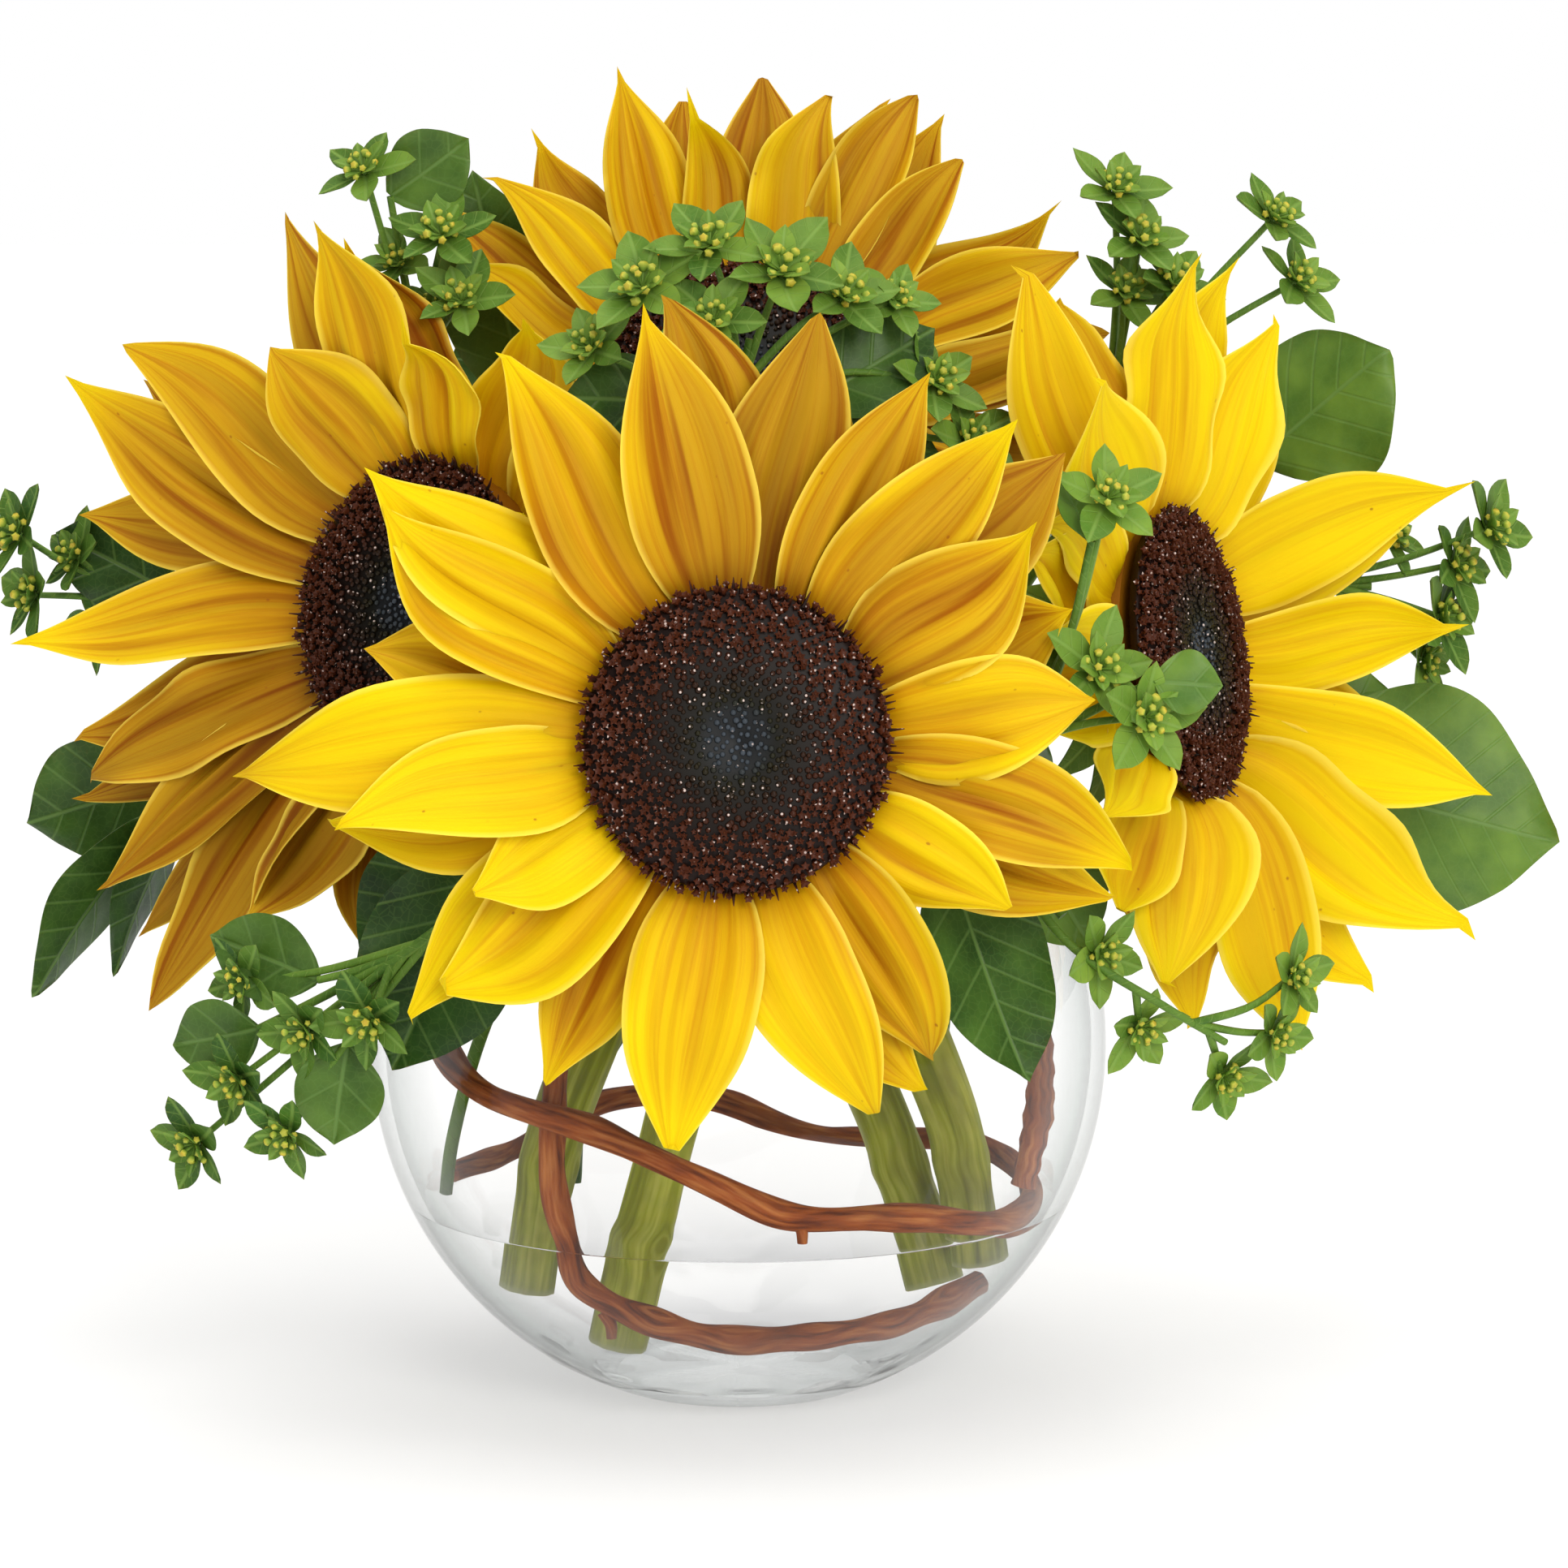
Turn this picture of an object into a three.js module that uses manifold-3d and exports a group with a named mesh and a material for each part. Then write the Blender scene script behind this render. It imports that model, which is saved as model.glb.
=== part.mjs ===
// Four sunflowers with filler greens in a clear glass bubble bowl. Millimetres, +Z up.
// The origin is the centre of the bowl's flat base. The front of the bouquet faces -Y.
import * as THREE from "three";
import { mergeVertices } from "three/addons/utils/BufferGeometryUtils.js";
import Module from "manifold-3d";

const wasm = await Module();
wasm.setup();

// Driving dimensions
const GAP = 0.3;
const BOWL = { radius: 76, wall: 3, base: 26, mouth: 50, floor: 4.5, sides: 24 };
BOWL.centre = Math.sqrt(BOWL.radius ** 2 - BOWL.base ** 2);
BOWL.rim = BOWL.centre + Math.sqrt(BOWL.radius ** 2 - BOWL.mouth ** 2);
BOWL.inner = BOWL.radius - BOWL.wall;
const WATER_LEVEL = 40;
const DISC = { radius: 29.5, height: 8, bumpHeight: 0.6, rings: 4, sides: 20 };
const RECEPTACLE = { radius: 28, boss: 21.8, depth: 19, shoulder: -6.9, sides: 12 };
const PETAL = { root: 25, width: 24, thickness: 1.3, channel: 2 };
const BRACT = { length: 25, width: 13, count: 8 };
const STEM_RADIUS = 5.8;
const VINE_RADIUS = 2.7;
const TWIG = { stem: 1.5, branch: 0.95 };
const UMBEL = { valley: 0.46, cup: 0.3, edge: 0.45, knob: 2.4 };

// Colours
const COLOUR = {
  glass: [0xe9eef0, 0.04, 0.0],
  water: [0xdfe9ea, 0.02, 0.0],
  disc: [0x2c1509, 0.85, 0.0],
  petal: [0xf6b800, 0.55, 0.0],
  stem: [0x6f8434, 0.6, 0.0],
  leaf: [0x2f6a2b, 0.5, 0.0],
  spray: [0x4c9136, 0.6, 0.0],
  vine: [0x8a4722, 0.7, 0.0],
};

const bouquet = new THREE.Group();

function material(kind) {
  const [color, roughness, metalness] = COLOUR[kind];
  return new THREE.MeshStandardMaterial({ color, roughness, metalness });
}

// Small helpers

const vec = (p) => new THREE.Vector3(...p);
const rad = THREE.MathUtils.degToRad;
const lerp = THREE.MathUtils.lerp;

// The same number from 0 to 1 for the same seed and index, each time.
function draw(seed, index) {
  const wave = Math.sin(seed * 12.9898 + index * 78.233) * 43758.5453;
  return wave - Math.floor(wave);
}

function toSolid(geometry) {
  const bare = geometry.clone();
  bare.deleteAttribute("normal");
  bare.deleteAttribute("uv");
  const merged = mergeVertices(bare, 1e-4);
  return new wasm.Manifold(
    new wasm.Mesh({
      numProp: 3,
      vertProperties: new Float32Array(merged.attributes.position.array),
      triVerts: new Uint32Array(merged.index.array),
    }),
  );
}

function toGeometry(solid) {
  const mesh = solid.getMesh();
  const geometry = new THREE.BufferGeometry();
  geometry.setAttribute("position", new THREE.BufferAttribute(mesh.vertProperties, 3));
  geometry.setIndex(new THREE.BufferAttribute(mesh.triVerts, 1));
  return geometry;
}

function fuse(solids) {
  return solids.reduce((all, one) => all.add(one));
}

function largestBody(solid) {
  return solid.decompose().reduce((best, one) => (one.volume() > best.volume() ? one : best));
}

function fromTriangles(points, triangles) {
  const geometry = new THREE.BufferGeometry();
  geometry.setAttribute(
    "position",
    new THREE.Float32BufferAttribute(points.flatMap((p) => [p.x, p.y, p.z]), 3),
  );
  geometry.setIndex(triangles);
  return geometry;
}

// A closed solid through rings of points. All rings have the same count. A tip closes an end in one point.
// With mirrored set, every other strip is split the other way, so a blade's two faces are split alike.
function loft(rings, tip = null, mirrored = false) {
  const points = rings.flat();
  const sides = rings[0].length;
  const triangles = [];
  for (let k = 0; k + 1 < rings.length; k++) {
    for (let i = 0; i < sides; i++) {
      const a = k * sides + i;
      const b = k * sides + ((i + 1) % sides);
      if (mirrored && i % 2 === 1) {
        triangles.push(a, b, b + sides, a, b + sides, a + sides);
      } else {
        triangles.push(a, b, a + sides, b, b + sides, a + sides);
      }
    }
  }
  for (let i = 1; i + 1 < sides; i++) {
    triangles.push(0, i + 1, i);
  }
  const last = (rings.length - 1) * sides;
  if (tip) {
    points.push(tip);
    for (let i = 0; i < sides; i++) {
      triangles.push(last + i, last + ((i + 1) % sides), points.length - 1);
    }
  } else {
    for (let i = 1; i + 1 < sides; i++) {
      triangles.push(last, last + i, last + i + 1);
    }
  }
  return toSolid(fromTriangles(points, triangles));
}

// A closed lathe profile of [radius, height] pairs, turned about +Z.
function turned(profile, sides) {
  const points = profile.map(([r, z]) => new THREE.Vector2(r, z));
  return new THREE.LatheGeometry(points, sides).rotateX(Math.PI / 2);
}

function arc(radius, centre, fromHeight, toHeight, steps) {
  const points = [];
  for (let i = 0; i <= steps; i++) {
    const a0 = Math.asin((fromHeight - centre) / radius);
    const a1 = Math.asin((toHeight - centre) / radius);
    const a = lerp(a0, a1, i / steps);
    points.push([radius * Math.cos(a), centre + radius * Math.sin(a)]);
  }
  return points;
}

// A round rod along a smooth curve. radiusAt gives its radius at a share of its length.
function rod(points, radiusAt, sides, steps) {
  const curve = new THREE.CatmullRomCurve3(points.map(vec), false, "centripetal");
  const rings = [];
  let side = null;
  for (let k = 0; k <= steps; k++) {
    const share = k / steps;
    const at = curve.getPointAt(share);
    const along = curve.getTangentAt(share);
    if (!side) {
      side = new THREE.Vector3(0.3, 1, 0.1).cross(along);
    }
    side.addScaledVector(along, -side.dot(along)).normalize();
    const other = along.clone().cross(side);
    const ring = [];
    for (let i = 0; i < sides; i++) {
      const a = (2 * Math.PI * i) / sides;
      const r = radiusAt(share);
      ring.push(
        at.clone().addScaledVector(side, r * Math.cos(a)).addScaledVector(other, r * Math.sin(a)),
      );
    }
    rings.push(ring);
  }
  return loft(rings);
}

// A thin blade, such as a petal or a leaf. Each row is [share of length, share of width].
// It starts at root, runs along out, faces up, and turns by lift and sideways degrees on its way. With roll
// it soon leans round its own length, so that neighbours lie over each other like tiles. A stalk is the rings
// of four points that lead to it.
function blade(shape) {
  const { root, out, up, length, width, thickness, channel, lift, turn, rows } = shape;
  const { roll = 0, stalk = [] } = shape;
  const side = up.clone().cross(out).normalize();
  const at = root.clone();
  const rings = [...stalk];
  let tip = null;
  let before = 0;
  rows.forEach(([share, wide]) => {
    const middle = (before + share) / 2;
    const heading = out.clone().applyAxisAngle(up, rad(turn * middle));
    const sideways = side.clone().applyAxisAngle(up, rad(turn * share));
    const angle = rad(lerp(lift[0], lift[1], middle));
    const step = heading.multiplyScalar(Math.cos(angle)).addScaledVector(up, Math.sin(angle));
    at.addScaledVector(step, length * (share - before));
    before = share;
    if (wide === 0) {
      tip = at.clone();
      return;
    }
    const here = rad(lerp(lift[0], lift[1], share));
    const face = up.clone().multiplyScalar(Math.cos(here));
    face.addScaledVector(out, -Math.sin(here));
    const lean = rad(roll * Math.min(1, share / 0.4));
    const across = sideways.clone().multiplyScalar(Math.cos(lean));
    across.addScaledVector(face, Math.sin(lean));
    const half = (width * wide) / 2;
    const sunk = channel * wide;
    rings.push([
      at.clone().addScaledVector(across, half),
      at.clone().addScaledVector(face, thickness / 2 - sunk),
      at.clone().addScaledVector(across, -half),
      at.clone().addScaledVector(face, -thickness / 2 - sunk),
    ]);
  });
  return loft(rings, tip, true);
}

function addNode(name, solid, kind, parent = bouquet) {
  const mesh = new THREE.Mesh(toGeometry(solid.simplify(0.2)), material(kind));
  mesh.name = name;
  parent.add(mesh);
  return mesh;
}

// The bowl. Its wall is one closed profile, and the water takes the same inner points, moved in by the gap.

const INNER_WALL = arc(
  BOWL.inner,
  BOWL.centre,
  BOWL.centre + Math.sqrt(BOWL.inner ** 2 - (BOWL.mouth - BOWL.wall) ** 2),
  BOWL.floor,
  6,
);

function bowlSolid() {
  const { radius, centre, rim, floor, mouth, wall, base, sides } = BOWL;
  const outer = arc(radius, centre, 0, rim, 7);
  outer[0] = [base, 0];
  const profile = [[0, 0], ...outer, [mouth - wall / 2, rim + 1], ...INNER_WALL, [0, floor]];
  return toSolid(turned(profile, sides));
}

// The flower heads. A petal is [angle, reach, lift at its root, lift at its tip]. The angle is in degrees
// anticlockwise from the right as the flower is looked at, and reach is how far from its middle it ends.

const PETAL_ROWS = [[0, 0.4], [0.4, 1], [0.75, 0.7], [1, 0]];
const BRACT_ROWS = [[0, 1], [0.45, 0.8], [1, 0]];

const FLOWERS = {
  front: {
    centre: [0.2, -85, 145],
    normal: [0.03, -0.97, 0.17],
    stem: [[0, -43, 135], [-1, -37, 124], [-2, -31, 105], [-8, -28, 80], [-17, -27, 45], [-24, -26, 15]],
    petals: [
      [81, 81, 14, 14], [90, 85, 8, 6], [99, 82, 22, 10], [122, 83, 22, -6], [145, 84, 16, 2],
      [154, 79, 24, 0], [165, 70, 6, -4], [179, 96, 18, -30], [188, 76, 26, -10], [197, 80, 8, -36],
      [211, 55, 34, -20], [214, 80, 8, -22], [225, 70, 20, -34], [237, 74, 8, -32],
      [260, 77, 26, -38], [283, 76, 26, -36], [291, 75, 6, -26], [304, 71, 20, -38],
      [328, 58, 30, -34], [333, 77, 8, -20], [349, 77, 20, -12], [5, 66, 26, -8],
      [18, 66, 10, 4], [29, 68, 22, 6], [41, 81, 12, 4], [50, 78, 22, 4], [63, 76, 16, 8],
      [73, 72, 6, 8],
    ],
  },
  left: {
    centre: [-63, -20, 164],
    normal: [-0.62, -0.74, 0.26],
    stem: [[-34, 16, 139], [-14, 26, 118], [4, 25, 98], [19, 20, 75], [32, 14, 48], [40, 9, 19]],
    petals: [
      [123, 90, 12, 20], [109, 80, 24, 22], [109, 75, 12, 34], [85, 58, 26, 44], [70, 62, 10, 30],
      [145, 92, 22, 10], [158, 97, 10, 6], [164, 96, 20, 12], [165, 100, 10, 2], [186, 91, 22, 14],
      [202, 90, 10, 8], [212, 88, 24, 0], [215, 100, 12, -4], [226, 92, 20, 6], [231, 101, 10, -6],
      [243, 99, 22, -4], [233, 89, 10, -8], [260, 70, 20, 4], [264, 69, 12, 10],
      [298, 50, 20, 50], [315, 50, 14, 62], [337, 46, 22, 78], [121, 63, 34, 30], [24, 46, 22, 74],
      [47, 52, 14, 52],
    ],
  },
  right: {
    centre: [87, -22, 154],
    normal: [0.9, -0.4, 0.17],
    lean: 45,
    stem: [[47, 3, 141], [37, 4, 127], [31, 2, 104], [35, 0, 80], [45, -1, 52], [49, 0, 26]],
    petals: [
      [113, 83, 0, -7], [124, 66, 16, -6], [98, 73, -2, 6], [81, 78, 20, 6], [69, 82, 14, 26],
      [59, 75, 30, 16], [40, 77, 14, 30], [24, 87, 38, 42], [10, 86, 14, 54], [355, 76, 38, 54],
      [340, 82, 14, 54], [329, 88, 38, 42], [316, 86, 14, 38], [302, 90, 36, 22], [293, 88, 14, 20],
      [278, 83, 26, -8], [268, 73, 9, -19], [248, 67, 17, -12], [237, 58, 14, -6], [210, 51, 18, -8],
      [187, 51, 8, -16], [173, 53, 18, -30], [156, 55, 14, -8], [142, 56, 18, -16],
    ],
  },
  top: {
    centre: [2.6, 10, 206],
    normal: [0, -0.75, 0.66],
    width: 19,
    stem: [[-2, 27, 162], [-9, 10, 137], [-17, 0, 110], [-25, -4, 86], [-38, -4, 52], [-43, -4, 21]],
    petals: [
      [152, 76, 10, 30], [142, 70, 24, 36], [130, 72, 10, 30], [118, 74, 24, 34], [106, 72, 8, 30],
      [98, 62, 24, 40], [89, 76, 12, 26], [79, 68, 26, 38], [73, 74, 8, 26], [64, 74, 20, 32],
      [54, 74, 10, 26], [46, 66, 24, 38], [32, 74, 12, 28], [20, 72, 24, 26], [9, 73, 10, 16],
      [357, 70, 20, 18], [343, 66, 8, 10], [325, 58, 20, 12], [305, 54, 8, 8], [282, 52, 20, 4],
      [250, 52, 8, 6], [219, 50, 8, 18], [199, 52, 20, 30], [184, 58, 10, 26], [168, 64, 22, 32],
    ],
  },
};

function placeOf({ centre, normal }) {
  const n = vec(normal).normalize();
  const right = new THREE.Vector3(0, 0, 1).cross(n).normalize();
  const place = new THREE.Matrix4().makeBasis(right, n.clone().cross(right), n);
  return place.setPosition(vec(centre));
}

function discSolid() {
  const { radius, height, bumpHeight, rings, sides } = DISC;
  const profile = [[0, GAP], [22, GAP], [radius - 0.8, 3]];
  for (let k = 0; k < rings; k++) {
    const share = 1 - k / rings;
    profile.push([radius * share, height - 3 * share ** 3 - 1.2 * (1 - share) ** 4]);
  }
  profile.push([0, height - 1.2]);
  const geometry = turned(profile, sides);
  const place = geometry.getAttribute("position");
  for (let i = 0; i < place.count; i++) {
    const [x, y, z] = [place.getX(i), place.getY(i), place.getZ(i)];
    const r = Math.hypot(x, y);
    if (z < 4 || r < 1) {
      continue;
    }
    // Florets stand in alternate bumps along each ring, half a step round from ring to ring.
    const along = Math.round((Math.atan2(y, x) / (2 * Math.PI)) * sides);
    const ring = Math.round((r / radius) * rings);
    const raised = (along + ring) % 2 === 0 ? 1 : -1;
    place.setZ(i, z + raised * bumpHeight);
  }
  return toSolid(geometry);
}

// The petals, with the ring that joins them. With lean, those that stand up or hang down twist on their roots
// and show their faces to whoever looks at the head from its side.
function petalsSolid({ petals, lean = 0, width = PETAL.width }, seed) {
  const profile = [[22.3, -6], [27.6, -6], [27.6, -1.4], [22.3, -1.4], [22.3, -6]];
  const ring = turned(profile, RECEPTACLE.sides);
  const blades = petals.map(([angle, reach, rootLift, tipLift], i) => {
    const out = new THREE.Vector3(Math.cos(rad(angle)), Math.sin(rad(angle)), 0);
    const inFront = rootLift > 15;
    return blade({
      root: out.clone().multiplyScalar(PETAL.root).setZ(inFront ? -2 : -4.8),
      out,
      up: new THREE.Vector3(0, 0, 1),
      length: reach - PETAL.root + 3,
      width: width * lerp(0.84, 1.1, draw(seed, i)) * Math.min(1, reach / 66),
      thickness: PETAL.thickness,
      channel: PETAL.channel,
      lift: [rootLift, tipLift],
      turn: lerp(-16, 16, draw(seed + 7, i)),
      roll: 9 - lean * out.y,
      rows: PETAL_ROWS,
    });
  });
  return largestBody(fuse([toSolid(ring), ...blades]));
}

function calyxSolid(seed) {
  const { radius, boss, depth, shoulder } = RECEPTACLE;
  const cup = turned(
    [
      [0, -depth],
      [STEM_RADIUS + 1.5, -depth],
      [16, -depth + 5],
      [radius - 1.5, -10],
      [radius - 1.5, shoulder],
      [boss, shoulder],
      [boss, -0.3],
      [0, -0.3],
    ],
    RECEPTACLE.sides,
  );
  const bracts = [];
  for (let i = 0; i < BRACT.count; i++) {
    const angle = (2 * Math.PI * (i + 0.5 * draw(seed, i))) / BRACT.count;
    const out = new THREE.Vector3(Math.cos(angle), Math.sin(angle), 0);
    const low = i % 2;
    const pressed = out.y < -0.6 ? 0.62 : 1;
    bracts.push(
      blade({
        root: out.clone().multiplyScalar(22 - 4 * low).setZ(-8.6 - 2.8 * low),
        out,
        up: new THREE.Vector3(0, 0, 1),
        length: BRACT.length * pressed * lerp(0.8, 1.1, draw(seed + 3, i)),
        width: BRACT.width,
        thickness: 1.1,
        channel: 0.8,
        lift: [-4, -38],
        turn: 0,
        rows: BRACT_ROWS,
      }),
    );
  }
  return fuse([toSolid(cup), ...bracts]);
}

// A flower's stem starts inside its calyx and leaves it straight back, then follows its own points.
function stemRod({ centre, normal, stem }, radiusAt) {
  const back = vec(normal).normalize();
  const start = vec(centre).addScaledVector(back, -RECEPTACLE.depth + 4);
  const out = vec(centre).addScaledVector(back, -RECEPTACLE.depth - 12);
  return rod([start.toArray(), out.toArray(), ...stem], radiusAt, 7, 9);
}

function buildFlower(name, flower, seed) {
  const place = placeOf(flower);
  const head = new THREE.Group();
  head.applyMatrix4(place);
  bouquet.add(head);
  addNode(`disc_${name}`, discSolid(), "disc", head);
  addNode(`petals_${name}`, petalsSolid(flower, seed), "petal", head);
  const swollen = (share) => STEM_RADIUS * (1 + 0.04 * Math.sin(share * 17 + seed));
  const calyx = toSolid(toGeometry(calyxSolid(seed)).applyMatrix4(place));
  addNode(`stem_${name}`, largestBody(calyx.add(stemRod(flower, swollen))), "stem");
}

// The vines that are wound inside the bowl. A point is [bearing, height, distance in from the wall], with
// the bearing in degrees from the front towards the right.

const VINES = {
  long: [
    [-64, 82, 0], [-48, 71, 0], [-22, 65, 0], [-6, 57, 0], [10, 49, 0], [31, 47, 0],
    [57, 41, 0], [90, 40, 0], [125, 42, 1], [165, 39, 0], [186, 46, 0], [207, 47, 0],
    [233, 40, 0], [262, 41, 0],
  ],
  low: [
    [-42, 96, 8], [-36, 84, 8], [-35, 70, 7], [-34, 55, 3], [-33, 42, 1], [-32, 32, 0],
    [-10, 22, 0], [17, 21, 0], [42, 22, 0], [68, 26, 0],
  ],
  upright: [[61, 48, 0], [62, 62, 1], [64, 78, 2], [68, 92, 5]],
};

function vineRod(points, radiusAt) {
  const path = points.map(([bearing, height, inset]) => {
    const across = BOWL.inner - VINE_RADIUS - 1.3 - inset;
    const r = Math.sqrt(across ** 2 - (height - BOWL.centre) ** 2);
    return [r * Math.sin(rad(bearing)), -r * Math.cos(rad(bearing)), height];
  });
  return rod(path, radiusAt, 6, Math.round(2 * points.length));
}

// The greens. A stem runs from its foot in the water to its top. A fork leaves it and carries more of them.
// Each umbel or leaf ends a thin branch.
// An umbel is [x, y, z] with a size. A leaf is its root, its tip, its width and, for some, the way it faces.

const GREENS = {
  spray_top: {
    stem: [[-24, -3, 22], [-19, -5, 44], [-12, -6, 78], [-10, -20, 108], [-12, -36, 131], [-10, -46, 165],
      [0, -46, 205], [3, -46, 219]],
    umbels: [[-18, -48, 229, 11], [-5, -46, 237, 10], [-4, -53, 223, 9], [9, -48, 232, 11],
      [21, -44, 227, 10], [31, -38, 226, 8], [39, -36, 210, 9], [-28, -44, 217, 9],
      [46, -36, 198, 9]],
    leaves: [[[-12, -42, 206], [-34, -40, 208], 18, [0, -1, 0.3]],
      [[14, -42, 206], [40, -33, 220], 20, [0, -1, 0.3]],
      [[12, -43, 200], [40, -36, 196], 20, [0, -1, 0.2]],
      [[-8, -44, 202], [-30, -42, 188], 18, [0, -1, 0.2]]],
  },
  spray_upper_left: {
    stem: [[-45, 24, 30], [-39.5, 26, 47], [-29, 28, 73], [-28, 30, 100], [-34, 28, 131], [-42, 26, 160],
      [-62, 18, 195], [-66, 12, 216]],
    umbels: [[-76, 6, 250, 9], [-60, 2, 237, 10], [-69, 9, 231, 8], [-56, -2, 224, 9], [-63, 10, 221, 8]],
    leaves: [[[-71, 8, 245], [-54, 6, 256], 17, [0.1, -1, 0.1]]],
  },
  leafy_upper_left: {
    stem: [[-36, 37, 30], [-34, 37, 50], [-18, 40, 80], [-14, 42, 105], [-16, 41, 131], [-34, 46, 165],
      [-46, 42, 200]],
    leaves: [[[-45, 40, 200], [-56, 34, 250], 26, [0, -1, 0.1]], [[-40, 46, 180], [-62, 66, 214], 26],
      [[-30, 46, 160], [-20, 78, 190], 28], [[-17, 44, 138], [-4, 84, 132], 27]],
  },
  spray_upper_right: {
    stem: [[50, 22, 38], [46, 24, 50], [36, 24, 77], [31, 22, 104], [39, 19, 131], [52, 24, 152],
      [70, 26, 180], [80, 18, 212]],
    umbels: [[77, 10, 246, 9], [82, 8, 236, 10], [89, 8, 227, 9], [79, 10, 225, 9],
      [110, 18, 240, 9], [115, 20, 227, 9]],
  },
  leafy_upper_right: {
    stem: [[46, 32, 36], [43, 34, 50], [32, 36, 78], [30, 34, 105], [34, 27, 131], [62, 38, 150],
      [90, 46, 170], [110, 46, 190]],
    leaves: [[[111, 45, 188], [136, 38, 214], 36], [[92, 46, 170], [88, 62, 206], 30],
      [[76, 42, 160], [60, 74, 186], 28], [[42, 28, 150], [22, 62, 178], 26]],
  },
  leafy_right: {
    stem: [[36, 36, 32], [33, 38, 46], [19.5, 40, 72], [14, 40, 100], [25, 36, 131], [60, 44, 141],
      [95, 46, 136], [116, 42, 124]],
    leaves: [[[116, 41, 124], [174, 34, 104], 52, [-0.1, -1, 0.5]], [[104, 46, 134], [140, 52, 136], 26],
      [[80, 46, 138], [98, 76, 118], 30], [[62, 47, 135], [58, 84, 118], 27]],
  },
  spray_right: {
    stem: [[31, 44, 38], [25, 46, 58], [22, 46, 80], [24, 40, 108], [30, 31, 131], [62, 50, 152],
      [104, 58, 160], [136, 58, 160]],
    umbels: [[160, 52, 173, 10], [153, 54, 165, 10], [150, 52, 154, 10], [147, 57, 144, 9],
      [140, 62, 170, 9]],
  },
  spray_left: {
    stem: [[-46, 13, 32], [-39, 13, 50], [-29, 13, 76], [-38, 14, 108], [-42, 12, 131], [-50, 17, 138],
      [-75, 38, 145], [-115, 56, 154], [-138, 62, 158]],
    umbels: [[-155, 58, 171, 10], [-152, 58, 158, 10], [-143, 60, 166, 9], [-138, 60, 151, 9]],
    leaves: [[[-122, 58, 158], [-148, 64, 172], 20, [0, -1, 0.3]]],
  },
  leafy_left: {
    stem: [[-46, 5, 30], [-39, 5.5, 50], [-29.5, 5, 77], [-38, 4, 110], [-43, 3, 131], [-52, 8, 137],
      [-80, 28, 138], [-112, 44, 126], [-126, 44, 116]],
    leaves: [[[-124, 45, 118], [-154, 44, 112], 28], [[-124, 42, 112], [-150, 28, 74], 22],
      [[-116, 42, 118], [-134, 34, 78], 18], [[-96, 38, 130], [-116, 74, 112], 30],
      [[-66, 20, 132], [-72, 64, 116], 28]],
  },
  spray_lower_left: {
    stem: [[-61, -5, 40], [-59, -7, 52], [-52, -13, 76], [-38, -24, 106], [-24, -36, 131],
      [-29, -43.5, 135], [-38, -56, 126], [-52, -62, 110], [-70, -60, 96]],
    umbels: [[-84, -60, 85, 9], [-98, -54, 74, 9], [-71, -66, 88, 9], [-107, -48, 60, 9],
      [-88, -58, 64, 9], [-97, -50, 93, 8]],
    leaves: [[[-82, -56, 94], [-104, -46, 102], 17, [-0.2, -1, 0.2]],
      [[-76, -60, 82], [-80, -60, 62], 18, [-0.1, -1, 0]],
      [[-94, -54, 84], [-112, -44, 78], 16, [-0.2, -1, 0]]],
  },
  leafy_lower_left: {
    stem: [[-22, -12, 24], [-18, -13, 44], [-9, -14, 78], [-18, -18, 108], [-30, -30, 131],
      [-36, -36, 135], [-43, -45, 131], [-48, -51, 122]],
    leaves: [[[-49, -51, 120], [-66, -54, 74], 32, [-0.2, -1, -0.1]],
      [[-43, -47, 122], [-76, -43, 93], 32, [-0.2, -1, 0.3]]],
  },
  leafy_lower_right: {
    stem: [[-23, 4, 26], [-19, 3, 45], [-12, 2, 72], [-4, -4, 90], [10, -18, 110], [22, -36, 131],
      [27, -44, 135], [36, -54, 131], [42, -61, 121]],
    leaves: [[[42, -61, 120], [55, -76, 77], 30]],
  },
  spray_lower_right: {
    stem: [[50, 12, 34], [46, 12, 46], [42.5, 14, 60], [44, 12, 84], [42, -10, 112], [31, -30, 131],
      [37, -36, 135], [49, -49, 125], [64, -57, 107]],
    forks: [
      [[37, -36, 135], [46, -48, 139], [55, -65, 141], [61.5, -75.5, 148]],
      [[49, -49, 125], [64, -60, 103], [84, -64, 90], [96, -58, 82]],
    ],
    umbels: [[71, -59, 100, 9], [79, -57, 85, 8], [110, -46, 93, 8], [106, -48, 82, 8],
      [96, -50, 74, 9], [69, -78, 158, 10], [78, -80, 149, 10], [71, -72, 190, 9]],
    leaves: [[[80, -79, 156], [93, -80, 155], 13], [[68, -73, 182], [61, -69, 196], 11],
      [[52, -44, 126], [72, -37, 98], 24, [0.1, -1, 0.2]]],
  },
};

// Close points along a stem's rod, which itself has straight pieces between its steps.
function pointsAlong(stem, steps) {
  const bends = new THREE.CatmullRomCurve3(stem.map(vec), false, "centripetal").getSpacedPoints(steps);
  return bends.flatMap((bend, k) => {
    const next = bends[Math.min(k + 1, steps)];
    const shares = k < steps ? [0, 0.2, 0.4, 0.6, 0.8] : [0];
    return shares.map((share) => bend.clone().lerp(next, share));
  });
}

function nearestOn(points, to) {
  return points.reduce((best, one, k) => (one.distanceTo(to) < points[best].distanceTo(to) ? k : best), 0);
}

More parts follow.
